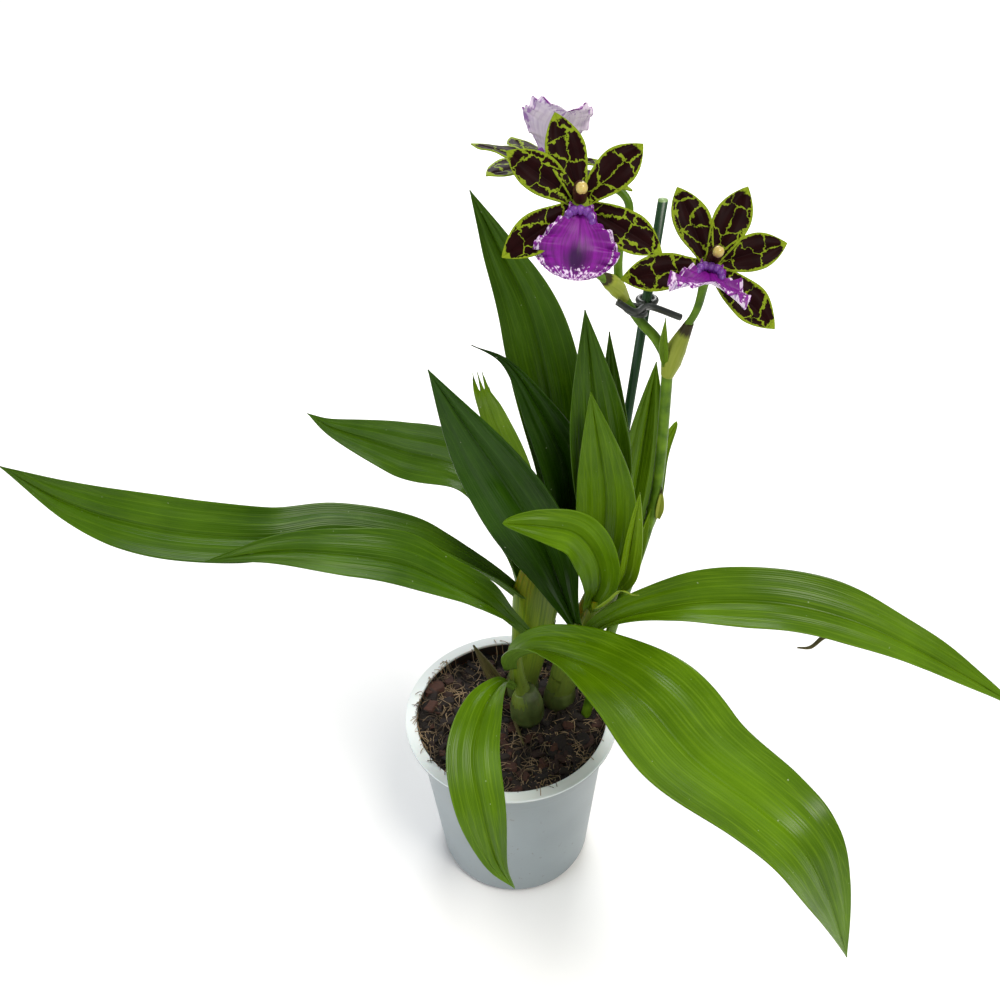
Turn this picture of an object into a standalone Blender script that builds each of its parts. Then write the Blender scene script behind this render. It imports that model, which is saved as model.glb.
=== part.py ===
"""A zygopetalum orchid in flower, in a plain plastic pot.

Metres, +Z up, the origin at the middle of the pot's underside. The plant leans a little to +X,
and its front flowers face -Y. Lengths in the tables are in millimetres, and MM turns them to metres.
"""
import math

import bmesh
import bpy
import numpy as np
from mathutils import Matrix, Vector, noise

MM = 0.001
GAP = 0.3 * MM  # clearance between two solids that touch

# Driving dimensions of the pot
RIM_RADIUS = 60 * MM
FLANGE_WIDTH = 6.5 * MM
POT_HEIGHT = 112 * MM
BASE_RADIUS = 45 * MM
WALL = 1.5 * MM
STEP_DROP = 17 * MM
SOIL_TOP = 102 * MM

# Driving dimensions of the plant
BLADE = 0.8 * MM
STAKE_RADIUS = 2.2 * MM
TEPAL_WIDTH = 16 * MM


def clear_scene():
    for obj in list(bpy.data.objects):
        bpy.data.objects.remove(obj)


def new_collection(name):
    collection = bpy.data.collections.new(name)
    bpy.context.scene.collection.children.link(collection)
    return collection


clear_scene()
PARTS = new_collection("zygopetalum_orchid")
HELPERS = new_collection("helpers")


def material(name, colour, roughness):
    finish = bpy.data.materials.new(name)
    finish.use_nodes = True
    shader = finish.node_tree.nodes["Principled BSDF"]
    shader.inputs["Base Color"].default_value = (*colour, 1.0)
    shader.inputs["Roughness"].default_value = roughness
    shader.inputs["Metallic"].default_value = 0.0
    return finish


def add_object(name, mesh, collection, finish=None):
    obj = bpy.data.objects.new(name, mesh)
    collection.objects.link(obj)
    if finish:
        mesh.materials.clear()
        mesh.materials.append(finish)
    return obj


def mesh_from_bmesh(name, bm):
    bmesh.ops.recalc_face_normals(bm, faces=bm.faces)
    mesh = bpy.data.meshes.new(name)
    bm.to_mesh(mesh)
    bm.free()
    return mesh


def evaluated_mesh(obj):
    bpy.context.view_layer.update()
    graph = bpy.context.evaluated_depsgraph_get()
    return bpy.data.meshes.new_from_object(obj.evaluated_get(graph))


def freeze(obj):
    """The object with its modifiers applied, its curve turned to mesh and its ends welded."""
    mesh = evaluated_mesh(obj)
    mesh.transform(obj.matrix_world)
    bm = bmesh.new()
    bm.from_mesh(mesh)
    bmesh.ops.remove_doubles(bm, verts=bm.verts, dist=1e-6)
    bmesh.ops.recalc_face_normals(bm, faces=bm.faces)
    bm.to_mesh(mesh)
    bm.free()
    name = obj.name
    bpy.data.objects.remove(obj)
    return add_object(name, mesh, HELPERS)


def fuse(name, pieces, finish, solver="MANIFOLD"):
    """One Boolean union of closed pieces, applied, as one part."""
    base, others = pieces[0], pieces[1:]
    group = bpy.data.collections.new(name + "_pieces")
    bpy.context.scene.collection.children.link(group)
    for piece in others:
        for owner in piece.users_collection:
            owner.objects.unlink(piece)
        group.objects.link(piece)
    union = base.modifiers.new("union", "BOOLEAN")
    union.operation = "UNION"
    union.operand_type = "COLLECTION"
    union.collection = group
    union.solver = solver
    mesh = evaluated_mesh(base)
    mesh.transform(base.matrix_world)
    for piece in pieces:
        bpy.data.objects.remove(piece)
    bpy.data.collections.remove(group)
    return add_object(name, mesh, PARTS, finish)


def swollen(obj, name, gap=GAP):
    """A copy of a closed piece, a gap larger all round, for use as a cutter."""
    mesh = evaluated_mesh(obj)
    mesh.transform(obj.matrix_world)
    bm = bmesh.new()
    bm.from_mesh(mesh)
    bm.normal_update()
    moves = [vert.normal * gap * min(1.6, vert.calc_shell_factor()) for vert in bm.verts]
    for vert, move in zip(bm.verts, moves):
        vert.co += move
    bm.to_mesh(mesh)
    bm.free()
    cutter = add_object(name, mesh, HELPERS)
    cutter.hide_render = True
    cutter.display_type = "WIRE"
    return cutter


def cut(obj, cutter, solver="MANIFOLD"):
    hole = obj.modifiers.new("clear_of_" + cutter.name, "BOOLEAN")
    hole.operation = "DIFFERENCE"
    hole.object = cutter
    hole.solver = solver


def smooth_path(points, count):
    """Points evenly spaced along a smooth curve through the given ones."""
    knots = [Vector(p) for p in points]
    knots = [2 * knots[0] - knots[1]] + knots + [2 * knots[-1] - knots[-2]]
    dense = []
    for a, b, c, d in zip(knots, knots[1:], knots[2:], knots[3:]):
        for step in range(24):
            t = step / 24
            dense.append(
                0.5
                * (
                    2 * b
                    + (c - a) * t
                    + (2 * a - 5 * b + 4 * c - d) * t * t
                    + (3 * b - a - 3 * c + d) * t ** 3
                )
            )
    dense.append(knots[-2].copy())
    run = [0.0]
    for here, there in zip(dense, dense[1:]):
        run.append(run[-1] + (there - here).length)
    marks = np.linspace(0.0, run[-1], count)
    axes = [np.interp(marks, run, [p[axis] for p in dense]) for axis in range(3)]
    return [Vector(p) for p in zip(*axes)]


def tangents(path):
    ahead = path[1:] + path[-1:]
    behind = path[:1] + path[:-1]
    return [(b - a).normalized() for a, b in zip(behind, ahead)]


def between(values, t):
    """A value read at t from values evenly spaced over 0 to 1."""
    places = np.linspace(0.0, 1.0, len(values))
    table = np.array(values, float).reshape(len(values), -1)
    return [float(np.interp(t, places, column)) for column in table.T]


def lance_outline(t, widest, foot, point):
    """Share of the full width of a lance-shaped blade: foot wide at the base, nothing at the tip."""
    if t < widest:
        rise = math.sin(0.5 * math.pi * t / widest) ** 1.4
        return foot + (1 - foot) * rise
    return math.cos(0.5 * math.pi * (t - widest) / (1 - widest)) ** point


def blade(name, midrib, sides, width, widest=0.5, foot=0.3, point=1.15, fold=(60, 20, 12), pleat=0.5,
          wave=0.0, waves=3.0, phase=0.0, rows=12, columns=6, thick=BLADE, tip=0.5 * MM, shape=lance_outline):
    """A thin pleated blade along a midrib: an open triangulated grid, thickened evenly.

    sides are the directions across the blade, from its base to its tip. fold is how far its two
    halves rise from flat, in degrees, towards its upper face, from base to tip.
    """
    path = smooth_path([Vector(p) * MM for p in midrib], rows + 1)
    along = tangents(path)
    bm = bmesh.new()
    bmesh.ops.create_grid(bm, x_segments=columns, y_segments=rows, size=1.0)
    for vert in bm.verts:
        u = vert.co.x
        t = 0.5 * (vert.co.y + 1)
        row = round(t * rows)
        across = Vector(between(sides, t))
        across = (across - across.dot(along[row]) * along[row]).normalized()
        upper = across.cross(along[row])
        half = max(tip, 0.5 * width * MM * shape(t, widest, foot, point))
        angle = math.radians(between(fold, t)[0])
        ridge = pleat * MM * math.cos(3 * math.pi * u) * -min(1.0, half / (0.25 * width * MM))
        ripple = wave * MM * abs(u) ** 2 * math.sin(2 * math.pi * waves * t + phase + (1.9 if u > 0 else 0.0))
        ripple *= math.sin(math.pi * min(1.0, t * 1.05))
        vert.co = (path[row] + across * half * u * math.cos(angle)
                   + upper * (half * abs(u) * math.sin(angle) + ridge + ripple))
    bmesh.ops.triangulate(bm, faces=bm.faces, quad_method="ALTERNATE")
    obj = add_object(name, mesh_from_bmesh(name, bm), HELPERS)
    skin = obj.modifiers.new("thickness", "SOLIDIFY")
    skin.thickness = thick
    skin.offset = 0.0
    skin.use_quality_normals = True
    return obj


def tube(name, points, radii, count=12, sides=2):
    """A round stem through the points, in millimetres, with its radius varying along it."""
    path = smooth_path([Vector(p) * MM for p in points], count)
    curve = bpy.data.curves.new(name, "CURVE")
    curve.dimensions = "3D"
    curve.bevel_depth = MM
    curve.bevel_resolution = sides
    curve.use_fill_caps = True
    spline = curve.splines.new("POLY")
    spline.points.add(count - 1)
    for index, (knot, place) in enumerate(zip(spline.points, path)):
        knot.co = (*place, 1.0)
        knot.radius = between(radii, index / (count - 1))[0]
    obj = bpy.data.objects.new(name, curve)
    HELPERS.objects.link(obj)
    return freeze(obj)


def egg(name, centre, radii, tilt=(0, 0, 0), segments=14, rings=9, taper=0.0):
    """An egg-shaped solid, narrower towards its top."""
    bm = bmesh.new()
    bmesh.ops.create_uvsphere(bm, u_segments=segments, v_segments=rings, radius=1.0)
    for vert in bm.verts:
        pinch = 1 - taper * vert.co.z
        vert.co = Vector((vert.co.x * pinch * radii[0], vert.co.y * pinch * radii[1], vert.co.z * radii[2]))
    turn = Matrix.Rotation(math.radians(tilt[0]), 4, "X") @ Matrix.Rotation(math.radians(tilt[1]), 4, "Y")
    place = Matrix.Translation(Vector(centre) * MM)
    bmesh.ops.transform(bm, matrix=place @ turn @ Matrix.Scale(MM, 4), verts=bm.verts)
    return add_object(name, mesh_from_bmesh(name, bm), HELPERS)


# The pot: a turned shell with a flat flange for a rim, a shallow step below it and drain holes
POT_GREY = material("pot_grey", (0.50, 0.53, 0.54), 0.42)
THROAT_RADIUS = RIM_RADIUS - FLANGE_WIDTH
BODY_RADIUS = THROAT_RADIUS + WALL
STEP_IN = 0.7 * MM
CORNER = 5 * MM
DRAIN_RADIUS = 4 * MM
DRAIN_RING = 30 * MM
DRAINS = 6


def body_radius(height):
    return BASE_RADIUS + (BODY_RADIUS - BASE_RADIUS) * height / POT_HEIGHT


def pot_profile():
    """Radius and height pairs, from the middle of the floor inside, up, over the rim and down."""
    step_height = POT_HEIGHT - STEP_DROP
    inside_corner = body_radius(CORNER) - WALL
    points = [(0.0, WALL), (inside_corner - CORNER + WALL, WALL), (inside_corner, CORNER)]
    points += [(THROAT_RADIUS, POT_HEIGHT), (RIM_RADIUS - 0.4 * MM, POT_HEIGHT)]
    points += [(RIM_RADIUS, POT_HEIGHT - 0.4 * MM), (RIM_RADIUS, POT_HEIGHT - 2.2 * MM)]
    points += [(RIM_RADIUS - 1.2 * MM, POT_HEIGHT - 2.2 * MM), (RIM_RADIUS - 1.4 * MM, POT_HEIGHT - 1.5 * MM)]
    points += [(body_radius(POT_HEIGHT), POT_HEIGHT - 1.5 * MM), (body_radius(step_height), step_height)]
    points += [(body_radius(step_height) - STEP_IN, step_height - MM)]
    for turn in range(3):
        angle = math.radians(90 * turn / 2)
        rim = body_radius(CORNER) - STEP_IN - CORNER * (1 - math.cos(angle))
        points.append((rim, CORNER * (1 - math.sin(angle))))
    points.append((0.0, 0.0))
    return points


def turned(name, profile, segments, collection):
    mesh = bpy.data.meshes.new(name)
    edges = [(i, i + 1) for i in range(len(profile) - 1)]
    mesh.from_pydata([(radius, 0.0, height) for radius, height in profile], edges, [])
    obj = add_object(name, mesh, collection)
    screw = obj.modifiers.new("turning", "SCREW")
    screw.axis = "Z"
    screw.steps = screw.render_steps = segments
    screw.use_merge_vertices = True
    screw.merge_threshold = 0.00001
    screw.use_normal_calculate = True
    return obj


def build_pot():
    pot = turned("pot", pot_profile(), 48, PARTS)
    pot.data.materials.append(POT_GREY)
    for index in range(DRAINS):
        angle = 2 * math.pi * (index + 0.5) / DRAINS
        bm = bmesh.new()
        bmesh.ops.create_cone(bm, cap_ends=True, segments=12, radius1=DRAIN_RADIUS, radius2=DRAIN_RADIUS,
                              depth=10 * MM)
        place = Vector((DRAIN_RING * math.cos(angle), DRAIN_RING * math.sin(angle), 0.0))
        bmesh.ops.translate(bm, vec=place, verts=bm.verts)
        drain = add_object(f"drain_{index}", mesh_from_bmesh("drain", bm), HELPERS)
        drain.hide_render = True
        drain.display_type = "WIRE"
        cut(pot, drain, solver="EXACT")
    return pot


# The pseudobulbs: three egg-shaped bulbs and a young one on a short rhizome in the potting mix
BULB_GREEN = material("bulb_green", (0.16, 0.22, 0.08), 0.5)


def build_bulbs():
    front = egg("bulb_front", (9, 2, 113), (9, 8, 17), tilt=(-8, 4), taper=0.2)
    left = egg("bulb_left", (7, 24, 107), (9.5, 9, 16), taper=0.2)
    right = egg("bulb_right", (28, 16, 106), (9, 8.5, 15), tilt=(0, 8), taper=0.2)
    young = tube("young_shoot", [(-5, 25, 96), (-9, 25, 112), (-20, 26, 140)], (4.2, 4.4, 3.2, 0.6), count=7)
    creeping = [(-5, 25, 96), (3, 24, 95), (9, 7, 101), (20, 10, 98), (28, 16, 96)]
    rhizome = tube("rhizome", creeping, (3.5, 4.5, 5, 4.5), count=9)
    return fuse("pseudobulbs", [front, left, right, young, rhizome], BULB_GREEN)


# The leafy shoots: false stems of folded sheaths, flattened, each standing on its bulb
SHEATH_GREEN = material("sheath_green", (0.22, 0.36, 0.05), 0.45)

SHOOTS = {
    "shoot_left": dict(
        axis=[(7, 24, 108), (12, 21, 145), (16, 16, 185), (20, 12, 222)],
        wide=(8, 9.5, 11.5, 13, 9), deep=(7.5, 7, 6, 4, 1.6)),
    "shoot_right": dict(
        axis=[(28, 16, 108), (36, 17, 140), (48, 18, 175), (58, 19, 205)],
        wide=(7.5, 8.5, 10, 9.5, 6), deep=(7, 6.5, 5.5, 4, 1.6)),
    "shoot_front": dict(
        axis=[(8, 1, 122), (5, 0, 142), (4, -1, 160)],
        wide=(4.5, 3.6, 3, 2.4), deep=(4, 3, 2.4, 1.5)),
}


def sheathed_stem(name, axis, wide, deep, rings=7, segments=14):
    """A closed stem of oval rings along an axis, wide across X and deep across Y."""
    path = smooth_path([Vector(p) * MM for p in axis], rings)
    along = tangents(path)
    bm = bmesh.new()
    loops = []
    for row, place in enumerate(path):
        t = row / (rings - 1)
        ring = bmesh.ops.create_circle(bm, cap_ends=False, segments=segments, radius=1.0)["verts"]
        right = (Vector((1, 0, 0)) - along[row].x * along[row]).normalized()
        front = along[row].cross(right)
        for vert in ring:
            reach = right * vert.co.x * between(wide, t)[0] + front * vert.co.y * between(deep, t)[0]
            vert.co = place + reach * MM
        loops.append(list({edge for vert in ring for edge in vert.link_edges}))
    for lower, upper in zip(loops, loops[1:]):
        bmesh.ops.bridge_loops(bm, edges=lower + upper)
    bmesh.ops.holes_fill(bm, edges=loops[0] + loops[-1], sides=segments)
    bmesh.ops.triangulate(bm, faces=bm.faces)
    return add_object(name, mesh_from_bmesh(name, bm), PARTS, SHEATH_GREEN)


def build_shoots(bulbs):
    around = swollen(bulbs, "bulb_clearance")
    shoots = [sheathed_stem(name, **spec) for name, spec in SHOOTS.items()]
    for shoot in shoots:
        cut(shoot, around)
    return shoots


# The leaves: pleated, lance-shaped, folded at the foot and opening flat.
# Each starts inside the shoot that carries it and is cut to its surface.
LEAF_GREEN = material("leaf_green", (0.07, 0.19, 0.02), 0.35)
UP = (0, 0, 1)
RIGHT = (1, 0, 0)

LEAVES = {
    # The old front bulb's two leaves
    "leaf_front_broad": dict(
        midrib=[(3, -2, 150), (4, -7, 164), (13, -13, 175), (26, -22, 181), (45, -38, 186), (63, -64, 191),
                (81, -96, 190), (106, -122, 187), (122, -136, 178), (134, -144, 154), (147, -151, 114)],
        sides=[(-0.4, -1, 0), (-0.9, -0.8, 0.1), (-0.8, -0.7, 0.1), (-0.8, -0.7, 0.1), (-0.8, -0.6, 0)],
        width=60, widest=0.46, foot=0.2, point=1.05, fold=(60, 20, 10, 8, 20), wave=1.2, rows=14),
    "leaf_front_drooping": dict(
        midrib=[(2, -2, 134), (-5, -10, 146), (-14, -32, 154), (-20, -56, 148), (-17, -76, 130),
                (-11, -86, 100), (-2, -90, 80)],
        sides=[(-0.5, 0.3, 0), (-1, 0.1, 0), (-1, 0.1, 0), (-1, 0.2, 0)],
        width=28, widest=0.5, foot=0.2, point=0.95, fold=(50, 15, 10, 20), wave=0.6, rows=12),
    # The left shoot's leaves
    "leaf_left_long": dict(
        midrib=[(15, 17, 172), (3, 15, 190), (-13, 16, 206), (-33, 15, 223), (-51, 14, 234), (-84, 8, 246),
                (-114, -2, 250), (-146, -14, 264), (-173, -23, 281), (-191, -33, 302), (-203, -45, 329)],
        sides=[(0, 1, 0), (0, 1, 0.1), (0, 1, 0.1), (0, 0.8, 0.4), (0, 0.7, 0.6), (0, 0.7, 0.6)],
        width=31, widest=0.7, foot=0.3, point=1.0, fold=(60, 30, 25, 16, 14, 20), wave=1.0, rows=16),
    "leaf_left_lower": dict(
        midrib=[(12, 12, 158), (0, 5, 180), (-11, -2, 200), (-30, -8, 222), (-52, -10, 238), (-84, -15, 250),
                (-109, -22, 258), (-137, -32, 262)],
        sides=[(0, 1, 0), (0, 1, 0.2), (0, 0.8, 0.5), (0, 0.8, 0.5)],
        width=29, widest=0.5, foot=0.25, point=1.0, fold=(60, 18, 14, 20), wave=1.6, waves=3.5, rows=14),
    "leaf_back_left": dict(
        midrib=[(10, 26, 162), (0, 46, 200), (-17, 68, 231), (-57, 93, 231), (-95, 110, 235),
                (-111, 118, 241)],
        sides=[(0.6, 0.8, 0), (0.5, 0.9, 0.3), (0, 0.8, 0.6), (0, 0.8, 0.6)],
        width=35, widest=0.55, foot=0.25, point=1.0, fold=(60, 20, 10, 20), wave=0.8, rows=12),
    "leaf_left_upright": dict(
        midrib=[(36, 13, 168), (30, 11, 190), (20, 9, 226), (4, 8, 262), (-14, 7, 299), (-31, 5, 336)],
        sides=[(1, 0.2, 0), (1, 0.1, 0.4), (1, 0, 0.5), (1, 0, 0.5)],
        width=38, widest=0.5, foot=0.25, point=1.0, fold=(50, 22, 14, 20), wave=0.6, rows=12),
    "leaf_tall": dict(
        midrib=[(22, 21, 186), (28, 36, 225), (28, 46, 265), (17, 58, 328), (1, 66, 366), (-10, 70, 390)],
        sides=[(1, 0.2, 0), (1, 0.2, 0), (1, 0.1, 0.2), (1, 0, 0.3)],
        width=36, widest=0.55, foot=0.25, point=1.0, fold=(50, 25, 14, 20), wave=0.8, rows=14),
    "leaf_tall_thin": dict(
        midrib=[(29, 16, 190), (33, 24, 225), (32, 28, 262), (18, 28, 299), (4, 28, 324), (-12, 28, 334)],
        sides=[(1, 0.3, 0), (1, 0.2, 0), (1, 0, 0.5), (1, 0, 1)],
        width=27, widest=0.42, foot=0.3, point=1.5, fold=(50, 25, 14, 30), rows=12),
    "leaf_back_torn": dict(
        midrib=[(17, 15, 196), (15, 28, 212), (10, 52, 235), (-2, 82, 253), (-8, 96, 265), (-11, 99, 278)],
        sides=[(0.8, 0.6, 0), (1, 0.2, 0), (1, 0, 0)],
        width=16, widest=0.6, foot=0.3, point=0.35, fold=(50, 25, 14, 10), rows=8, columns=4),
    # The right shoot's leaves
    "leaf_right_long": dict(
        midrib=[(40, 12, 154), (50, 3, 174), (67, -3, 190), (98, -8, 201), (136, -14, 204), (172, -20, 196),
                (206, -28, 181), (240, -37, 162), (262, -43, 148)],
        sides=[(0, -1, 0), (0, -1, -0.2), (0, -0.9, -0.4), (0, -0.9, -0.4), (0, -0.8, -0.4), (0, -0.8, -0.4)],
        width=35, widest=0.45, foot=0.25, point=1.0, fold=(60, 24, 14, 12, 20), wave=1.2, waves=4, rows=16),
    "leaf_middle_front": dict(
        midrib=[(50, 15, 188), (49, 10, 206), (49, 9, 228), (49, 10, 262), (41, 10, 318)],
        sides=[(1, 0.1, 0), (1, 0, 0), (1, 0, 0.1)],
        width=32, widest=0.42, foot=0.26, point=1.0, fold=(50, 25, 16, 20), wave=0.5, rows=12),
    "leaf_middle_back": dict(
        midrib=[(54, 19, 192), (50, 18, 225), (47, 18, 275), (42, 21, 325), (39, 24, 352)],
        sides=[(1, 0.2, 0), (1, 0.1, 0), (1, 0, 0.1)],
        width=31, widest=0.5, foot=0.26, point=1.0, fold=(50, 25, 16, 20), rows=12),
    "leaf_middle_far": dict(
        midrib=[(54, 21, 188), (55, 26, 225), (54, 28, 280), (51, 30, 337)],
        sides=[(1, 0.2, 0), (1, 0.1, 0), (1, 0, 0.1)],
        width=20, widest=0.42, foot=0.3, point=1.0, fold=(50, 25, 20, 20), rows=10),
    "leaf_right_back": dict(
        midrib=[(57, 22, 182), (67, 40, 215), (73, 45, 271), (77, 50, 308)],
        sides=[(1, 0.3, 0), (1, 0.2, 0), (1, 0, 0)],
        width=26, widest=0.5, foot=0.3, point=1.0, fold=(50, 25, 20, 20), rows=10),
    "leaf_right_small": dict(
        midrib=[(48, 19, 166), (58, 30, 182), (78, 54, 207), (84, 58, 245), (92, 62, 264)],
        sides=[(1, 0.3, 0), (1, 0.2, 0), (1, 0, 0)],
        width=12, widest=0.5, foot=0.3, point=1.0, fold=(50, 25, 20, 20), rows=8, columns=4),
    "leaf_curled": dict(
        midrib=[(43, 14, 178), (44, 3, 194), (47, -3, 212), (44, -6, 232), (34, -9, 250), (19, -12, 258),
                (-1, -14, 263)],
        sides=[(1, -0.2, 0), (1, -0.1, 0), (0.8, 0, 0.6), (0.2, 0.6, 0.8), (0, 1, 0.6)],
        width=24, widest=0.6, foot=0.28, point=0.6, fold=(50, 25, 20, 30), rows=10),
    "leaf_folded": dict(
        midrib=[(55, 15, 188), (57.5, 5, 203), (60, -1, 218), (62, -3, 244), (64, -4, 270)],
        sides=[(1, 0, 0), (1, 0.1, 0), (1, 0.1, 0)],
        width=14, widest=0.45, foot=0.3, point=1.0, fold=(60, 45, 40, 30), rows=8, columns=4),
}


def build_leaves(shoots):
    cutters = [swollen(shoot, shoot.name + "_clearance") for shoot in shoots]
    for name, spec in LEAVES.items():
        leaf = blade(name, **spec)
        HELPERS.objects.unlink(leaf)
        PARTS.objects.link(leaf)
        leaf.data.materials.append(LEAF_GREEN)
        for cutter in cutters:
            cut(leaf, cutter)


# The flowers: five tepals joined at the ovary, a fan-shaped lip and a short column with its cap.
# Each is made about its own centre, facing +Z with its upper sepal towards +Y, then set in place.
TEPAL_GREEN = material("tepal_green", (0.10, 0.05, 0.02), 0.4)
LIP_VIOLET = material("lip_violet", (0.35, 0.06, 0.42), 0.45)
COLUMN_CREAM = material("column_cream", (0.55, 0.45, 0.12), 0.4)

# Length of each tepal in millimetres and how far its tip comes forward
TEPALS = {
    "upper_sepal": (36, 3),
    "left_petal": (35, 2),
    "right_petal": (33, 2),
    "left_sepal": (37, 1),
    "right_sepal": (37, 1),
}

# The lip runs down and out from the centre: hang is how far along and how far lifted, in millimetres
FLOWERS = {
    "flower_front": dict(
        centre=(34, 0, 411), facing=(0, -0.78, 0.62), up=(-0.09, 0.62, 0.78), turns=(99, 138, 36, 207, -39),
        hang=[(0, 0), (8, 1.2), (18, 1.5), (28, -2.5)], droop=10, swing=-13, fold=(40, 5, -14, -24)),
    "flower_right": dict(
        centre=(87.8, 5, 380), facing=(0.02, -0.74, 0.67), up=(0.47, 0.62, 0.63),
        turns=(90, 138, 42, 215, -19), hang=[(0, 0), (8, 0.5), (16, 3), (25, 9)], droop=45, swing=12,
        fold=(40, 5, -14, -24)),
    "flower_back": dict(
        centre=(23, 36, 411), facing=(0.20, 0.10, 0.97), up=(-0.30, 0.94, 0.0), turns=(95, 138, 25, 207, -39),
        hang=[(0, 0), (8, 1.2), (18, 1.5), (28, -1)], droop=66, swing=-10, fold=(50, 38, 32, 36)),
}


def fan_outline(t, widest, foot, point):
    """Share of the full width of a lip: a narrow claw, a wide fan and a blunt rounded end."""
    if t < widest:
        return foot + (1 - foot) * math.sin(0.5 * math.pi * t / widest) ** 2.6
    return max(0.0, 1 - ((t - widest) / (1 - widest)) ** 2) ** point


def build_flower(name, centre, facing, up, turns, hang, droop, swing, fold):
    front = Vector(facing).normalized()
    top = (Vector(up) - Vector(up).dot(front) * front).normalized()
    side = top.cross(front)
    place = Matrix.Translation(Vector(centre) * MM) @ Matrix((side, top, front)).transposed().to_4x4()
    pieces = [egg(name + "_ovary", (0, 0, -1), (4.6, 4.6, 3.6), segments=10, rings=6)]
    for turn, (label, (length, reach)) in zip(turns, TEPALS.items()):
        out = Vector((math.cos(math.radians(turn)), math.sin(math.radians(turn)), 0))
        over = Vector((-out.y, out.x, 0)) * -1
        line = [out * 3.2, out * 0.3 * length, out * 0.65 * length, out * length]
        rise = (0, 1.0, 2.0, reach)
        line = [p + Vector((0, 0, z)) for p, z in zip(line, rise)]
        tepal = blade(label, line, [over, over], TEPAL_WIDTH / MM, widest=0.56, foot=0.42, point=0.85,
                      fold=(25, 16, 10, 8), pleat=0.2, wave=0.7, waves=2, phase=turn, rows=5, columns=4,
                      tip=0.7 * MM)
        pieces.append(freeze(tepal))
    tepals = fuse(name + "_tepals", pieces, TEPAL_GREEN)
    tepals.data.transform(place)
    sink = math.radians(droop)
    down = Vector((0, -math.cos(sink), math.sin(sink)))
    lift = Vector((0, math.sin(sink), math.cos(sink)))
    line = [Vector((0, -2.6, 2.1)) + down * d + lift * h for d, h in hang]
    lip = freeze(blade(name + "_lip", line, [(-1, 0, 0), (-1, 0, 0)], 34, widest=0.6, foot=0.34, point=0.5,
                       fold=fold, pleat=0.0, wave=2.2, waves=3.5, rows=8, columns=6, shape=fan_outline))
    arch = [(-5, 5, 1.2), (-3.6, 2, 2.2), (0, 1, 2.4), (3.6, 2, 2.2), (5, 5, 1.2)]
    ridge = [Vector((x, -2.6, 2.6)) + down * d + lift * h for x, d, h in arch]
    collar = tube(name + "_collar", ridge, (1.2, 1.7, 1.7, 1.2), count=6, sides=1)
    lip = fuse(name + "_lip", [lip, collar], LIP_VIOLET)
    lip.data.transform(place @ Matrix.Rotation(math.radians(swing), 4, "Z"))
    stalk = tube(name + "_stalk", [(0, 2.6, 1.5), (0, 4.6, 6), (0, 3.4, 10.5)], (2.4, 2.6, 2.2), count=4)
    cap = egg(name + "_cap", (0, 3.0, 11.4), (2.4, 2.6, 2.0), segments=8, rings=5)
    column = fuse(name + "_column", [stalk, cap], COLUMN_CREAM)
    column.data.transform(place)
    around = swollen(tepals, name + "_clearance")
    cut(lip, around)
    cut(column, around)
    return around


# The flower spike: a scape from the foot of the right shoot, bending at each flower's node
SPIKE_GREEN = material("spike_green", (0.13, 0.24, 0.04), 0.42)


def build_spike(clearances):
    """Stems, nodes and bracts that overlap, fused, and cut clear of the flowers."""
    scape = [(41, 4, 92), (48, 6, 130), (58, 10, 175), (68, 14, 212), (74, 15, 244), (76, 15, 274),
             (76, 15, 332)]
    rachis = [(76, 15, 330), (70, 18, 340), (62, 20, 349), (54, 22, 363), (53, 24, 380), (57, 27, 396),
              (53, 31, 403), (43, 34, 405), (32, 36, 406), (22.5, 36, 409)]
    right = [(76, 15, 330), (81, 13, 345), (86, 11, 358), (87.5, 7, 378.5)]
    front = [(54, 22, 361), (47, 15, 370), (40, 9, 380), (37, 6, 394), (34.5, 2.2, 409)]
    pieces = [
        tube("scape", scape, (2.8, 2.8, 2.8, 2.6), count=13),
        tube("rachis", rachis, (2.5, 2.2, 2.0, 1.8, 1.7, 1.6), count=15, sides=1),
        tube("pedicel_right", right, (2.0, 1.7, 1.7), count=6, sides=1),
        tube("pedicel_front", front, (2.0, 1.6, 1.6), count=7, sides=1),
        tube("sheath_mid", [(76, 15, 322), (78.5, 14, 335), (83.5, 12.5, 350)], (2.7, 4.3, 4.4, 3.2, 1.9),
             count=6),
        tube("sheath_high", [(56, 21.5, 358), (51, 18.5, 366), (45, 14, 373)], (2.2, 3.6, 3.6, 1.8), count=5),
        egg("node_low", (74, 15, 244), (3.4, 3.4, 3), segments=10, rings=6),
        freeze(blade("bract_low", [(77, 13, 240), (78, 12, 250), (78, 11, 260)], [(1, 0, 0)], 6, widest=0.3,
                     foot=0.6, fold=(30, 20), pleat=0, rows=5, columns=4)),
        freeze(blade("bract_foot", [(63.5, 12, 200), (66, 9, 220), (69, 8, 236), (72, 8, 250)], [(1, 0.3, 0)],
                     8, widest=0.4, foot=0.5, fold=(40, 30), pleat=0, rows=6, columns=4)),
        freeze(blade("bract_narrow", [(74, 12, 329), (72.5, 11, 341), (72.5, 10, 354)], [(1, 0, 0)], 4.5,
                     widest=0.3, foot=0.6, fold=(30, 20), pleat=0, rows=5, columns=4)),
    ]
    spike = fuse("flower_spike", pieces, SPIKE_GREEN)
    for around in clearances:
        cut(spike, around)
    return spike


# The support stake and the clip that holds the spike to it
STAKE_GREEN = material("stake_green", (0.01, 0.06, 0.02), 0.5)
CLIP_GREY = material("clip_grey", (0.06, 0.065, 0.06), 0.4)
STAKE_FOOT = Vector((37.5, 24, 45))
STAKE_TOP = Vector((72.2, 35, 397))


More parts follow.
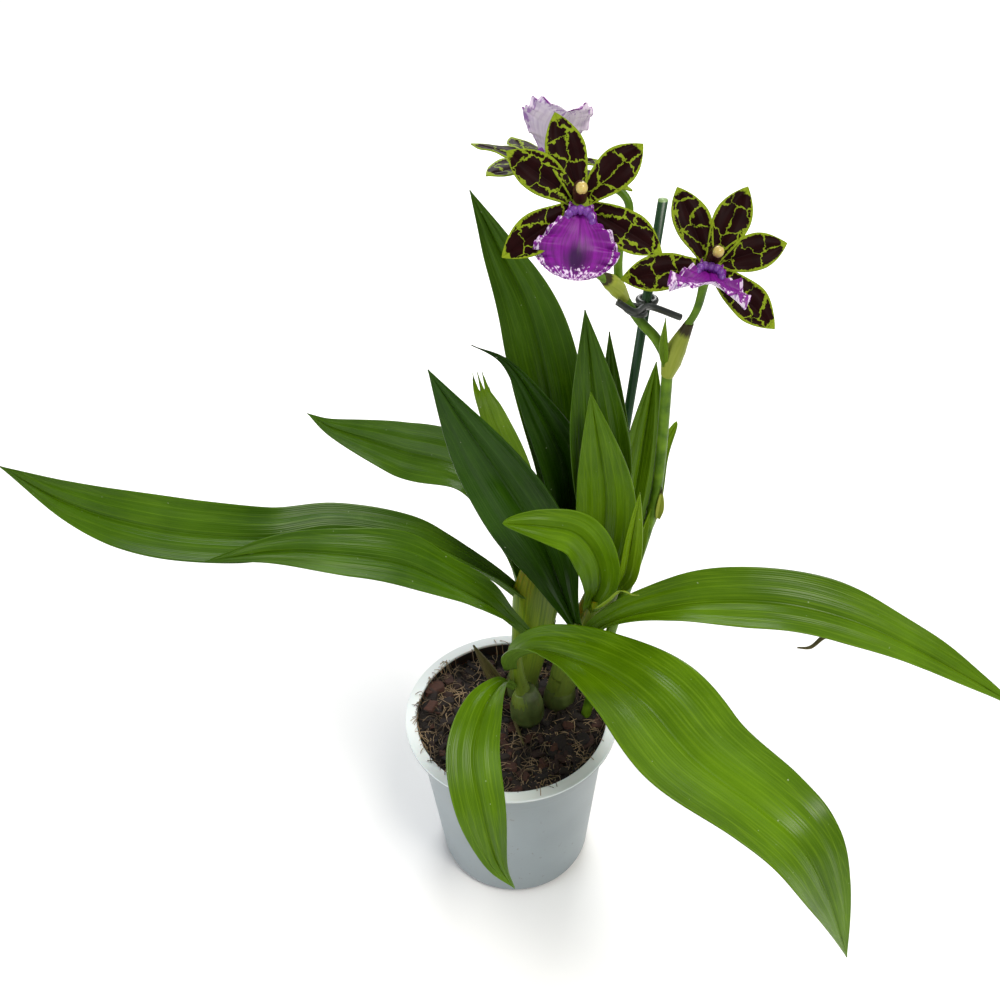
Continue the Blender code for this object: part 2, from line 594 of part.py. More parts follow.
def build_stake():
    bm = bmesh.new()
    length = (STAKE_TOP - STAKE_FOOT).length * MM
    bmesh.ops.create_cone(bm, cap_ends=True, segments=16, radius1=STAKE_RADIUS, radius2=STAKE_RADIUS,
                          depth=length)
    lean = (STAKE_TOP - STAKE_FOOT).to_track_quat("Z", "Y").to_matrix().to_4x4()
    middle = Matrix.Translation((STAKE_TOP + STAKE_FOOT) / 2 * MM)
    bmesh.ops.transform(bm, matrix=middle @ lean, verts=bm.verts)
    return add_object("support_stake", mesh_from_bmesh("support_stake", bm), PARTS, STAKE_GREEN)


def build_clip(stake, spike):
    """A bar across the front of the stake with a jaw round the stake and a ring round the spike."""
    at_stake = STAKE_FOOT.lerp(STAKE_TOP, (350.5 - STAKE_FOOT.z) / (STAKE_TOP.z - STAKE_FOOT.z))
    at_spike = Vector((60.5, 20.3, 353))
    bar = tube("bar", [(52, 15, 360), (60, 15.6, 354.5), (68, 27.4, 350.5), (83, 31, 342.5)], (1.5, 1.6, 1.6),
               count=7, sides=1)
    ring_points = []
    jaw_points = []
    for step in range(13):
        angle = math.radians(30 * step)
        round_spike = Vector((math.cos(angle) * 4.6, math.sin(angle) * 4.6, -math.cos(angle) * 1.5))
        ring_points.append(at_spike + round_spike)
        jaw_points.append(at_stake + Vector((math.cos(angle), math.sin(angle), 0)) * 3.9)
    ring = tube("ring", ring_points, (1.1,), count=11, sides=1)
    jaw = tube("jaw", jaw_points, (1.4,), count=11, sides=1)
    clip = fuse("stem_clip", [bar, ring, jaw], CLIP_GREY)
    cut(clip, swollen(stake, "stake_clearance"))
    cut(clip, swollen(spike, "spike_clearance"))
    return clip


# The potting mix: bark and peat, uneven on top, with a plain hole round everything that stands in it
MIX_BROWN = material("mix_brown", (0.05, 0.03, 0.018), 0.95)


def build_mix(standing):
    inside = body_radius(CORNER) - WALL
    slope = (THROAT_RADIUS - inside) / (POT_HEIGHT - CORNER)
    top = inside + slope * (SOIL_TOP - CORNER) - GAP
    profile = [(0.0, WALL + GAP), (inside - CORNER + WALL - GAP, WALL + GAP), (inside - GAP, CORNER + GAP)]
    profile += [(top * share, SOIL_TOP) for share in (1.0, 0.86, 0.7, 0.54, 0.38, 0.22)] + [(0.0, SOIL_TOP)]
    mix = freeze(turned("growing_medium", profile, 32, HELPERS))
    for vert in mix.data.vertices:
        radius = math.hypot(vert.co.x, vert.co.y)
        if vert.co.z > SOIL_TOP - MM and radius < 0.9 * top:
            bump = noise.noise(Vector(vert.co) * 55) * 3.2 + noise.noise(Vector(vert.co) * 160) * 2.0
            vert.co.z += bump * MM
    HELPERS.objects.unlink(mix)
    PARTS.objects.link(mix)
    mix.data.materials.append(MIX_BROWN)
    for obj in standing:
        cut(mix, swollen(obj, obj.name + "_hole", 0.5 * MM))
    return mix


build_pot()
bulbs = build_bulbs()
shoots = build_shoots(bulbs)
build_leaves(shoots)
clearances = [build_flower(name, **spec) for name, spec in FLOWERS.items()]
spike = build_spike(clearances)
stake = build_stake()
build_clip(stake, spike)
build_mix([bulbs, stake, spike])
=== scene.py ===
"""A zygopetalum orchid in flower, in a light grey nursery pot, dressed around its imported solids."""
import math
import random

import bmesh
import bpy
import numpy as np
from mathutils import Matrix, Vector, noise


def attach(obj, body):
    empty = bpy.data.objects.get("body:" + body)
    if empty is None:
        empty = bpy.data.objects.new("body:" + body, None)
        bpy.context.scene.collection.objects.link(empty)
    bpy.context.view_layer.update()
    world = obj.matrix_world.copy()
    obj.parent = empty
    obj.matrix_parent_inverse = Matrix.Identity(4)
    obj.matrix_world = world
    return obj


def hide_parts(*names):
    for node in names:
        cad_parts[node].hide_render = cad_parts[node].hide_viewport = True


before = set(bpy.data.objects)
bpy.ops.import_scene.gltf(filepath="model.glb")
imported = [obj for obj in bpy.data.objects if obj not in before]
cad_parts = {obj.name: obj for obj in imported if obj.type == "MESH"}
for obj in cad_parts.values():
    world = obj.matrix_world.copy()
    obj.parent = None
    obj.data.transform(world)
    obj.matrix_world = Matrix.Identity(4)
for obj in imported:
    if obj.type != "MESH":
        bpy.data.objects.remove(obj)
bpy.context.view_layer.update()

MM = 0.001

# The camera, the floor and the light. The camera looks down on the plant from half a metre away, as a
# phone held over a table does. The floor is matt white board under broad window light.
VIEW_DOWN = math.radians(38.58)
VIEW_ROLL = math.radians(-2.23)
VIEW_FROM = (-0.00173, -0.3897, 0.57655)
VIEW_LENS = 37.8
LAMP_AIM = Vector((0, 0, 0.25))
SUN_WAY = Vector((-0.45, 0.42, -1.0))


def in_scene(name, data):
    """An object that holds the given mesh, light or camera, put in the scene."""
    obj = bpy.data.objects.new(name, data)
    bpy.context.scene.collection.objects.link(obj)
    return obj


level = Vector((1, 0, 0))
ahead = Vector((0, math.cos(VIEW_DOWN), -math.sin(VIEW_DOWN)))
level_up = level.cross(ahead)
view_right = level * math.cos(VIEW_ROLL) + level_up * math.sin(VIEW_ROLL)
view_up = level_up * math.cos(VIEW_ROLL) - level * math.sin(VIEW_ROLL)
camera = in_scene("camera", bpy.data.cameras.new("camera"))
camera.data.sensor_width = 36
camera.data.lens = VIEW_LENS
camera.data.clip_start = 0.01
view_turn = Matrix((view_right, view_up, -ahead)).transposed().to_4x4()
camera.matrix_world = Matrix.Translation(VIEW_FROM) @ view_turn
bpy.context.scene.camera = camera


def srgb(code):
    """A hex colour, as a paint chip gives it, in linear light."""
    parts = [int(code[i:i + 2], 16) / 255 for i in (0, 2, 4)]
    return tuple(p / 12.92 if p <= 0.04045 else ((p + 0.055) / 1.055) ** 2.4 for p in parts) + (1.0,)


def add_node(tree, kind, inputs=(), out=None, stops=(), **settings):
    """Adds a shader node with its settings and links, and gives its named output or the one in use.

    Inputs go by name, or as a list in the node's own order. A socket takes a number, a hex colour or
    another node's output. Stops are a ramp's tones.
    """
    node = tree.nodes.new("ShaderNode" + kind)
    if kind == "Mix":
        node.data_type = "RGBA"
    for key, value in settings.items():
        setattr(node, key, value)
    for key, value in inputs.items() if isinstance(inputs, dict) else enumerate(inputs):
        named = [s for s in node.inputs if s.enabled and s.name == key]
        socket = named[0] if named else node.inputs[key]
        if isinstance(value, bpy.types.NodeSocket):
            tree.links.new(value, socket)
        else:
            socket.default_value = srgb(value) if isinstance(value, str) else value
    if stops:
        marks = node.color_ramp.elements
        for mark, (spot, code) in zip(marks, (stops[0], stops[-1])):
            mark.position = spot
            mark.color = srgb(code)
        for spot, code in stops[1:-1]:
            marks.new(spot).color = srgb(code)
    return node.outputs[out] if out else next(s for s in node.outputs if s.enabled)


def new_finish(name, roughness, **settings):
    """A material with an empty Principled shader, ready for its pattern, and its node tree."""
    finish = bpy.data.materials.new(name)
    finish.use_nodes = True
    shader = finish.node_tree.nodes["Principled BSDF"]
    shader.inputs["Roughness"].default_value = roughness
    for key, value in settings.items():
        shader.inputs[key.replace("_", " ")].default_value = value
    return finish, finish.node_tree


def dress(finish, colour, relief=None, strength=0.0, depth=0.0):
    """Joins a colour pattern to a finish, and its relief, if any, as a bump of that depth."""
    tree = finish.node_tree
    shader = tree.nodes["Principled BSDF"]
    tree.links.new(colour, shader.inputs["Base Color"])
    if relief:
        bump = add_node(tree, "Bump", {"Height": relief, "Strength": strength, "Distance": depth})
        tree.links.new(bump, shader.inputs["Normal"])
    return finish


def area_light(name, place, size, power, colour):
    """A round soft light aimed at the middle of the plant."""
    light = bpy.data.lights.new(name, "AREA")
    light.shape = "DISK"
    light.size = size
    light.energy = power
    light.color = srgb(colour)[:3]
    lamp = in_scene(name, light)
    lamp.location = place
    lamp.rotation_euler = (LAMP_AIM - Vector(place)).to_track_quat("-Z", "Y").to_euler()


area_light("room_fill", (-1.3, -0.6, 0.9), 1.2, 8, "f4f8ff")
area_light("back_glow", (0.2, 1.4, 1.2), 1.0, 16, "ffffff")
window_light = bpy.data.lights.new("window_light", "SUN")
window_light.energy = 2.6
window_light.angle = math.radians(28)
window_light.color = srgb("fffaf2")[:3]
in_scene("window_light", window_light).rotation_euler = SUN_WAY.to_track_quat("-Z", "Y").to_euler()
world = bpy.data.worlds.new("room")
world.use_nodes = True
world.node_tree.nodes["Background"].inputs["Color"].default_value = srgb("f4f6f8")
world.node_tree.nodes["Background"].inputs["Strength"].default_value = 0.5
bpy.context.scene.world = world
bpy.context.scene.view_settings.view_transform = "Standard"

# Painted board, rolled: dead matt, with the faintest unevenness of tone
board, tree = new_finish("white_board", 0.9)
grain = add_node(tree, "TexNoise", {"Scale": 60.0, "Detail": 4.0})
dress(board, add_node(tree, "Mix", {"Factor": grain, "A": "f3f3f2", "B": "fafafa"}))
bm = bmesh.new()
bmesh.ops.create_circle(bm, cap_ends=True, segments=96, radius=4.0)
floor_mesh = bpy.data.meshes.new("floor")
bm.to_mesh(floor_mesh)
bm.free()
floor_mesh.materials.append(board)
floor = in_scene("floor", floor_mesh)
floor.location.z = -0.5 * MM


# The pot: a light grey nursery pot, injection moulded in polypropylene. A flat flange makes the rim,
# and a shallow step below it lets a stack of pots come apart. Six drain holes go through its floor.
RIM_RADIUS = 60 * MM
THROAT_RADIUS = 53.5 * MM
POT_HEIGHT = 112 * MM
BASE_RADIUS = 45 * MM
WALL = 1.5 * MM
STEP_DROP = 17 * MM
STEP_IN = 0.7 * MM
CORNER = 5 * MM
DRAIN_RING = 30 * MM
DRAIN_RADIUS = 4 * MM
TAPER = (THROAT_RADIUS + WALL - BASE_RADIUS) / POT_HEIGHT


def body_radius(height):
    return BASE_RADIUS + (THROAT_RADIUS + WALL - BASE_RADIUS) * height / POT_HEIGHT


def inner_radius(height):
    foot = body_radius(CORNER) - WALL
    return foot + (THROAT_RADIUS - foot) * (height - CORNER) / (POT_HEIGHT - CORNER)


def rounded(corner_radius, centre, start, end, steps=6):
    """Points along a quarter round, in degrees, for a turned profile."""
    turns = [math.radians(start + (end - start) * i / steps) for i in range(steps + 1)]
    return [(centre[0] + corner_radius * math.cos(a), centre[1] + corner_radius * math.sin(a)) for a in turns]


def turned(name, profile, segments):
    """A smooth turned shell about the pot's axis, from radius and height pairs."""
    mesh = bpy.data.meshes.new(name)
    mesh.from_pydata([(r, 0, z) for r, z in profile], [(i, i + 1) for i in range(len(profile) - 1)], [])
    obj = in_scene(name, mesh)
    screw = obj.modifiers.new("turning", "SCREW")
    screw.axis = "Z"
    screw.steps = screw.render_steps = segments
    screw.use_merge_vertices = True
    screw.merge_threshold = 0.00001
    screw.use_normal_calculate = True
    screw.use_smooth_shade = True
    return obj


def apply_modifiers(obj):
    """Leaves the object with its finished mesh alone."""
    bpy.context.view_layer.update()
    done = bpy.data.meshes.new_from_object(obj.evaluated_get(bpy.context.evaluated_depsgraph_get()))
    obj.modifiers.clear()
    old = obj.data
    obj.data = done
    bpy.data.meshes.remove(old)


step_height = POT_HEIGHT - STEP_DROP
profile = [(0, WALL), (inner_radius(CORNER) - CORNER + WALL, WALL)]
profile += rounded(3.4 * MM, (inner_radius(CORNER) - 3.5 * MM, WALL + 3.5 * MM), -80, -5)
profile += [(inner_radius(30 * MM), 30 * MM), (inner_radius(80 * MM), 80 * MM)]
profile += rounded(0.7 * MM, (THROAT_RADIUS + 0.7 * MM, POT_HEIGHT - 0.7 * MM), 180, 90)
profile += rounded(0.5 * MM, (RIM_RADIUS - 0.5 * MM, POT_HEIGHT - 0.5 * MM), 90, 0)
profile += rounded(0.3 * MM, (RIM_RADIUS - 0.3 * MM, POT_HEIGHT - 2.1 * MM), 0, -90, 3)
profile += [
    (RIM_RADIUS - 1.1 * MM, POT_HEIGHT - 2.3 * MM),
    (RIM_RADIUS - 1.3 * MM, POT_HEIGHT - 1.6 * MM),
    (body_radius(POT_HEIGHT) + 0.8 * MM, POT_HEIGHT - 1.6 * MM),
    (body_radius(POT_HEIGHT) + 0.1 * MM, POT_HEIGHT - 2.2 * MM),
    (body_radius(step_height + 8 * MM), step_height + 8 * MM),
    (body_radius(step_height), step_height + 0.2 * MM),
    (body_radius(step_height) - 0.15 * MM, step_height - 0.1 * MM),
    (body_radius(step_height) - STEP_IN, step_height - 1.0 * MM),
    (body_radius(60 * MM) - STEP_IN, 60 * MM),
    (body_radius(25 * MM) - STEP_IN, 25 * MM),
]
profile += rounded(CORNER, (body_radius(CORNER) - STEP_IN - CORNER, CORNER), 0, -90, 10)
profile += [(0, 0)]
pot = turned("pot_shell", profile, 160)
bm = bmesh.new()
for index in range(6):
    angle = 2 * math.pi * (index + 0.5) / 6
    hole = Matrix.Translation((DRAIN_RING * math.cos(angle), DRAIN_RING * math.sin(angle), 0))
    bmesh.ops.create_cone(bm, cap_ends=True, segments=32, radius1=DRAIN_RADIUS, radius2=DRAIN_RADIUS,
                          depth=8 * MM, matrix=hole)
drain_mesh = bpy.data.meshes.new("drains")
bm.to_mesh(drain_mesh)
bm.free()
drains = in_scene("drains", drain_mesh)
drilling = pot.modifiers.new("drain_holes", "BOOLEAN")
drilling.operation = "DIFFERENCE"
drilling.object = drains
drilling.solver = "EXACT"
apply_modifiers(pot)
bpy.data.objects.remove(drains)


def across(size):
    """The scale of a pattern whose patches are this many millimetres across."""
    return 1 / (size * MM)


# Moulded polypropylene: a soft sheen, faint scuffs from stacking and specks of dried mix. The top face of
# the rim is painted whiter as a painted highlight, and the inside is painted near black as painted shade.
moulded_grey, tree = new_finish("moulded_grey_polypropylene", 0.42, IOR=1.49, Subsurface_Weight=0.05)
place = add_node(tree, "TexCoord", out="Object")
height = add_node(tree, "SeparateXYZ", [place], "Z")
cloud = add_node(tree, "TexNoise", {"Vector": place, "Scale": across(35.7), "Detail": 5.0})
scuff = add_node(tree, "TexNoise", {"Vector": place, "Scale": across(1.11), "Detail": 2.0})
speck = add_node(tree, "TexNoise", {"Vector": place, "Scale": across(3.85), "Detail": 3.0, "Roughness": 0.7})
body = add_node(tree, "Mix", {"Factor": cloud, "A": "80888b", "B": "8e979a"})
speckle = add_node(tree, "MapRange", [speck, 0.665, 0.69, 0.0, 0.75])
dirty = add_node(tree, "MapRange", [height, 0.104, 0.111, 0.75])
dust = add_node(tree, "Math", [speckle, dirty], operation="MULTIPLY")
soiled = add_node(tree, "Mix", {"Factor": dust, "A": body, "B": "6d6253"})
# Painted shade: the inside of the wall, found by its radius against the taper, is painted near black.
flat = add_node(tree, "VectorMath", [place, (1.0, 1.0, 0.0)], operation="MULTIPLY")
radius = add_node(tree, "VectorMath", [flat], "Value", operation="LENGTH")
upright = add_node(tree, "Math", [height, -TAPER, radius], operation="MULTIPLY_ADD")
inside = add_node(tree, "MapRange", [upright, BASE_RADIUS - 0.9 * MM, BASE_RADIUS - 1.3 * MM])
inside_painted_shade = add_node(tree, "Mix", {"Factor": inside, "A": soiled, "B": "0f1213"})
# Painted highlight: the top face of the rim is painted near white, as light from above makes it look.
flange = add_node(tree, "MapRange", [height, 0.1105, 0.1113])
rim_painted_highlight = add_node(tree, "Mix", {"Factor": flange, "A": inside_painted_shade, "B": "d4dada"})
dress(moulded_grey, rim_painted_highlight, scuff, 0.08, 0.2 * MM)
pot.data.materials.append(moulded_grey)
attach(pot, "root")
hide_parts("pot")


# The potting mix: milled pine bark, dark peat and coir fibre, watered and settled a little below the rim.
# Bigger bark chips lie loose on top, and a few fibres hang over the rim.
SOIL_TOP = 102 * MM
MIX_RADIUS = 50 * MM
RINGS = 90
AROUND = 240
CHIPS = 520
FIBRES = 620
RIM_FIBRES = 40
# Stems that rise out of the mix: x, y and radius in millimetres
STEMS = ((9, 2, 9), (7, 24, 10), (28, 16, 9), (-6, 25, 5), (38, 24, 3), (42, 4, 4))
random.seed(7)


def skin_from(name, bm, finish, smooth=True, closed=True):
    """A mesh object from a bmesh, with its faces turned outward where it is closed."""
    if closed:
        bmesh.ops.recalc_face_normals(bm, faces=bm.faces)
    mesh = bpy.data.meshes.new(name)
    bm.to_mesh(mesh)
    bm.free()
    mesh.materials.append(finish)
    for face in mesh.polygons:
        face.use_smooth = smooth
    return in_scene(name, mesh)


def mix_height(x, y):
    """Height of the settled mix at a place in the pot: low mounds, then crumbs."""
    low = noise.noise(Vector((x, y, 0.1)) * 55) * 3.0
    wall = max(0.0, math.hypot(x, y) / MIX_RADIUS - 0.55) * (1.0 - 0.9 * x / MIX_RADIUS)
    low += 6.0 * min(1.0, wall)
    crumbs = noise.noise(Vector((x, y, 0.3)) * 210) * 1.6 + noise.noise(Vector((x, y, 0.5)) * 520) * 0.8
    return SOIL_TOP + (low + crumbs) * MM


# Milled bark and peat, wet: near black crumbs about 2 mm across, with no shine
bark_mix, tree = new_finish("milled_bark_and_peat", 0.95)
place = add_node(tree, "TexCoord", out="Object")
crumb = add_node(tree, "TexVoronoi", {"Vector": place, "Scale": across(2.38), "Randomness": 1.0}, "Color")
tone = add_node(tree, "SeparateXYZ", [crumb], "X")
tint = add_node(tree, "ValToRGB", {"Fac": tone}, stops=(
    (0, "080403"), (0.35, "150c08"), (0.7, "130a05"), (0.9, "1c1008"), (1, "1c1008")))
grit = add_node(tree, "TexNoise", {"Vector": place, "Scale": across(1.11), "Detail": 6.0})
dress(bark_mix, tint, grit, 0.9, 1.2 * MM)
bm = bmesh.new()
bmesh.ops.create_grid(bm, x_segments=AROUND, y_segments=RINGS, size=1.0)
for vert in bm.verts:
    turn = math.pi * vert.co.x
    reach = inner_radius(SOIL_TOP) * 0.995 * max(0.002, 0.5 * (1 - vert.co.y))
    x, y = reach * math.cos(turn), reach * math.sin(turn)
    vert.co = Vector((x, y, mix_height(x, y)))
bmesh.ops.remove_doubles(bm, verts=bm.verts, dist=1e-5)
mix = skin_from("mix_surface", bm, bark_mix)
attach(mix, "root")
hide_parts("growing_medium")

# Pine bark, torn: each chip its own brown, a few of them red, worn darker along its rings
chip_finish, tree = new_finish("torn_pine_bark", 0.85)
place = add_node(tree, "TexCoord", out="Object")
stretch = add_node(tree, "Mapping", {"Vector": place, "Scale": (1.0, 3.0, 2.0)})
rings = add_node(tree, "TexNoise", {"Vector": stretch, "Scale": across(3.33), "Detail": 6.0})
tone = add_node(tree, "Attribute", out="Fac", attribute_name="chip_tone")
tint = add_node(tree, "ValToRGB", {"Fac": tone}, stops=(
    (0, "0c0604"), (0.5, "150b06"), (0.75, "231208"), (0.9, "3d1f14"), (1, "5c3220")))
worn = add_node(tree, "Mix", {"Factor": rings, "A": tint, "B": "120a07"})
dress(chip_finish, worn, rings, 0.7, 0.6 * MM)


def scattered_place(margin):
    """A random place on the mix, clear of the wall and of the stems."""
    while True:
        reach = math.sqrt(random.random()) * (inner_radius(SOIL_TOP) - margin)
        turn = random.uniform(0, 2 * math.pi)
        x, y = reach * math.cos(turn), reach * math.sin(turn)
        if all(math.hypot(x - stem_x * MM, y - stem_y * MM) > r * MM for stem_x, stem_y, r in STEMS):
            return x, y


def add_chip(bm, detail, at, spin, size, square, rough, frequency, seed, shade):
    """Adds one chip: a ball squared off, roughened and stretched to size."""
    for vert in bmesh.ops.create_icosphere(bm, subdivisions=detail, radius=1.0)["verts"]:
        lump = 1 + rough * noise.noise(vert.co * frequency + seed)
        flat = Vector([math.copysign(abs(c) ** square, c) * lump * s for c, s in zip(vert.co, size)])
        vert.co = Matrix.Translation(at) @ spin @ flat
        vert[tone] = shade


bm = bmesh.new()
tone = bm.verts.layers.float.new("chip_tone")
for index in range(CHIPS):
    x, y = scattered_place(3 * MM)
    big = random.random() ** 3
    wide = random.uniform(1.0, 2.2) + 4.0 * big
    deep = random.uniform(0.7, 1.5) + 2.3 * big
    size = Vector((wide, deep, random.uniform(0.4, 0.9) + 0.9 * big)) * MM
    spin = Matrix.Rotation(random.uniform(0, 6.3), 4, "Z")
    spin @= Matrix.Rotation(random.uniform(-0.5, 0.5), 4, "X")
    spin @= Matrix.Rotation(random.uniform(-0.4, 0.4), 4, "Y")
    shade = random.random() if big < 0.2 else random.uniform(0.5, 1.0)
    add_chip(bm, 2, (x, y, mix_height(x, y) + size.z * 0.4), spin, size, 0.6, 0.35, 1.7,
             Vector((index * 3.7, 1.3, 2.1)), shade)
for x, y, size, turn in ((-45, 23, (6.5, 4.2, 1.8), 0.4), (-46, 9, (4.6, 2.8, 1.6), 1.1),
                         (16, 4, (3.4, 1.5, 1.0), 0.7)):
    at = (x * MM, y * MM, mix_height(x * MM, y * MM) + 1.2 * MM)
    add_chip(bm, 3, at, Matrix.Rotation(turn, 4, "Z"), Vector(size) * MM, 0.5, 0.25, 1.5,
             Vector((x, y, 0)), 0.97)
chips = skin_from("bark_chips", bm, chip_finish, smooth=False)
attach(chips, "root")


def mottled(name, roughness, patch, detail, dark, pale, low=0.0, high=1.0, relief=0.0, depth=0.0, foot=None,
            **settings):
    """A finish clouded between two tones, in patches the given millimetres across.

    Two counts instead of a size give streaks, so many across the surface and so many along it. A foot is
    another tone, and the height where it starts and the one where it is full.
    """
    finish, tree = new_finish(name, roughness, **settings)
    place = add_node(tree, "TexCoord", out="Object")
    if isinstance(patch, tuple):
        blade_uv = add_node(tree, "UVMap", uv_map="blade")
        lines = add_node(tree, "Mapping", {"Vector": blade_uv, "Scale": (*patch, 1.0)})
        cloud = add_node(tree, "TexNoise", {"Vector": lines, "Scale": 1.0, "Detail": detail})
    else:
        cloud = add_node(tree, "TexNoise", {"Vector": place, "Scale": across(patch), "Detail": detail})
    tone = add_node(tree, "ValToRGB", {"Fac": cloud}, stops=((low, dark), (high, pale)))
    if foot:
        height = add_node(tree, "SeparateXYZ", [place], "Z")
        near_foot = add_node(tree, "MapRange", [height, foot[1], foot[2]])
        tone = add_node(tree, "Mix", {"Factor": near_foot, "A": tone, "B": foot[0]})
    return dress(finish, tone, cloud if relief else None, relief, depth)


# Coconut fibre, retted: stiff dull threads from near black to straw along their length
coir = mottled("coir_fibre", 0.8, 16.7, 2.0, "1c1109", "a58c6c", 0.35, 0.65)
curve = bpy.data.curves.new("coir_fibres", "CURVE")
curve.dimensions = "3D"
curve.bevel_depth = 0.19 * MM
curve.bevel_resolution = 1
curve.use_fill_caps = True
for index in range(FIBRES):
    x, y = scattered_place(2 * MM)
    heading = random.uniform(0, 6.3)
    length = random.uniform(5, 19) * MM
    bend = random.uniform(-1.4, 1.4)
    arch = random.uniform(0.2, 2.2) * MM
    if index < RIM_FIBRES:
        turn = random.uniform(2.3, 4.3)
        x, y = 53 * MM * math.cos(turn), 53 * MM * math.sin(turn)
        length = random.uniform(4, 10) * MM
    spline = curve.splines.new("POLY")
    spline.points.add(7)
    for step, point in enumerate(spline.points):
        t = step / 7
        turn = heading + bend * t
        px, py = x + math.cos(turn) * length * (t - 0.5), y + math.sin(turn) * length * (t - 0.5)
        rest = mix_height(px, py) if math.hypot(px, py) < 52.5 * MM else POT_HEIGHT
        point.co = (px, py, rest + 0.3 * MM + arch * math.sin(math.pi * t), 1)
        point.radius = random.uniform(0.7, 1.3)
curve.materials.append(coir)
fibres = in_scene("coir_fibres", curve)
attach(fibres, "root")


# The pseudobulbs: swollen stem bases that store water, grey-green and all but smooth, with a few shallow
# ribs. The young shoot beside them is still wrapped in brown papery scales.

# Each bulb: its foot, its tip, and its half width and half depth in millimetres
BULBS = (
    ((9, 4, 95), (9, 1, 131), 9.6, 8.6),
    ((7, 24, 92), (7, 24, 123), 9.6, 9.1),
    ((27, 16, 92), (30, 16, 121), 9.2, 8.6),
)
BULB_SWELL = (0.4, 0.84, 1.0, 1.0, 0.92, 0.74, 0.45)


def smooth_path(points, count):
    """Points evenly spaced along a smooth curve through the given ones, which are in millimetres."""
    knots = [Vector(p) * MM for p in points]
    knots = [2 * knots[0] - knots[1]] + knots + [2 * knots[-1] - knots[-2]]
    dense = []
    for a, b, c, d in zip(knots, knots[1:], knots[2:], knots[3:]):
        for step in range(24):
            t = step / 24
            square, cube = 2 * a - 5 * b + 4 * c - d, 3 * b - a - 3 * c + d
            dense.append(0.5 * (2 * b + (c - a) * t + square * t * t + cube * t ** 3))
    dense.append(knots[-2].copy())
    run = [0.0]
    for here, there in zip(dense, dense[1:]):
        run.append(run[-1] + (there - here).length)
    marks = np.linspace(0.0, run[-1], count)
    axes = [np.interp(marks, run, [p[axis] for p in dense]) for axis in range(3)]
    return [Vector(p) for p in zip(*axes)]


def tangents(path):
    return [(b - a).normalized() for a, b in zip(path[:1] + path[:-1], path[1:] + path[-1:])]


def between(values, t):
    """A value read at t from values evenly spaced over 0 to 1."""
    places = np.linspace(0.0, 1.0, len(values))
    table = np.array(values, float).reshape(len(values), -1)
    return [float(np.interp(t, places, column)) for column in table.T]


def oval_stem(bm, axis, wide, deep, rings=48, segments=40, ribs=0.0, rib_count=22):
    """Adds a closed stem of oval rings along an axis, wide across X and deep across Y, in millimetres."""
    path = smooth_path(axis, rings)
    along = tangents(path)
    uv = bm.loops.layers.uv.get("blade") or bm.loops.layers.uv.new("blade")
    made = bmesh.ops.create_grid(bm, x_segments=segments, y_segments=rings - 1, size=1.0)["verts"]
    spots = {}
    for vert in made:
        turn = math.pi * vert.co.x
        t = 0.5 * (vert.co.y + 1)
        row = round(t * (rings - 1))
        right = (Vector((1, 0, 0)) - along[row].x * along[row]).normalized()
        front = along[row].cross(right)
        rib = 1 + ribs * math.cos(rib_count * turn)
        spots[vert] = (0.5 * (vert.co.x + 1), t)
        vert.co = (path[row] + right * math.cos(turn) * between(wide, t)[0] * MM * rib
                   + front * math.sin(turn) * between(deep, t)[0] * MM * rib)
    for row in (0, rings - 1):
        ring = sorted((v for v in made if round(spots[v][1] * (rings - 1)) == row), key=lambda v: spots[v][0])
        bm.faces.new(ring if row else ring[::-1])
    for face in {face for vert in made for face in vert.link_faces}:
        for loop in face.loops:
            loop[uv].uv = spots[loop.vert]
    return made


# Living bulb skin: waxy, cloudy grey-green, and muddy where it meets the mix
bulb_skin = mottled("waxy_bulb_skin", 0.45, 8.33, 4.0, "3c4a1c", "5f6e38", 0.3, 0.7, 0.25, 0.6 * MM,
                    foot=("2f241a", 0.106, 0.100), IOR=1.42, Subsurface_Weight=0.08, Coat_Weight=0.15)
bm = bmesh.new()
for foot_at, tip_at, wide, deep in BULBS:
    axis = [foot_at, Vector(foot_at).lerp(Vector(tip_at), 0.5), tip_at]
    oval_stem(bm, axis, [wide * p for p in BULB_SWELL], [deep * p for p in BULB_SWELL], rings=40, segments=48,
              ribs=0.012, rib_count=9)
bulbs = skin_from("bulb_skins", bm, bulb_skin)
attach(bulbs, "root")
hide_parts("pseudobulbs")

# Dry scale leaf: matt paper, streaked from brown to olive along its fibres
papery = mottled("dry_papery_scale", 0.75, (60.0, 3.0), 4.0, "33260f", "625c24", 0.3, 0.75, 0.5, 0.4 * MM)
bm = bmesh.new()
oval_stem(bm, [(-5, 25, 96), (-9, 25, 112), (-20, 26, 140)], (4.2, 4.5, 4.0, 3.2, 1.8, 0.5),
          (4.2, 4.3, 3.8, 2.8, 1.6, 0.4), ribs=0.03)
oval_stem(bm, [(-4, 24, 97), (-6, 23, 106), (-12, 22, 120)], (4.8, 4.9, 3.8, 0.6), (4.8, 4.7, 3.2, 0.5),
          ribs=0.03)
oval_stem(bm, [(0.6, 8, 110), (2.4, -2.9, 105), (6.3, -17.2, 104)], (1.5, 1.3, 1.0, 0.4),
          (1.2, 1.0, 0.8, 0.3), segments=16)
scales = skin_from("papery_scales", bm, papery)
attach(scales, "root")


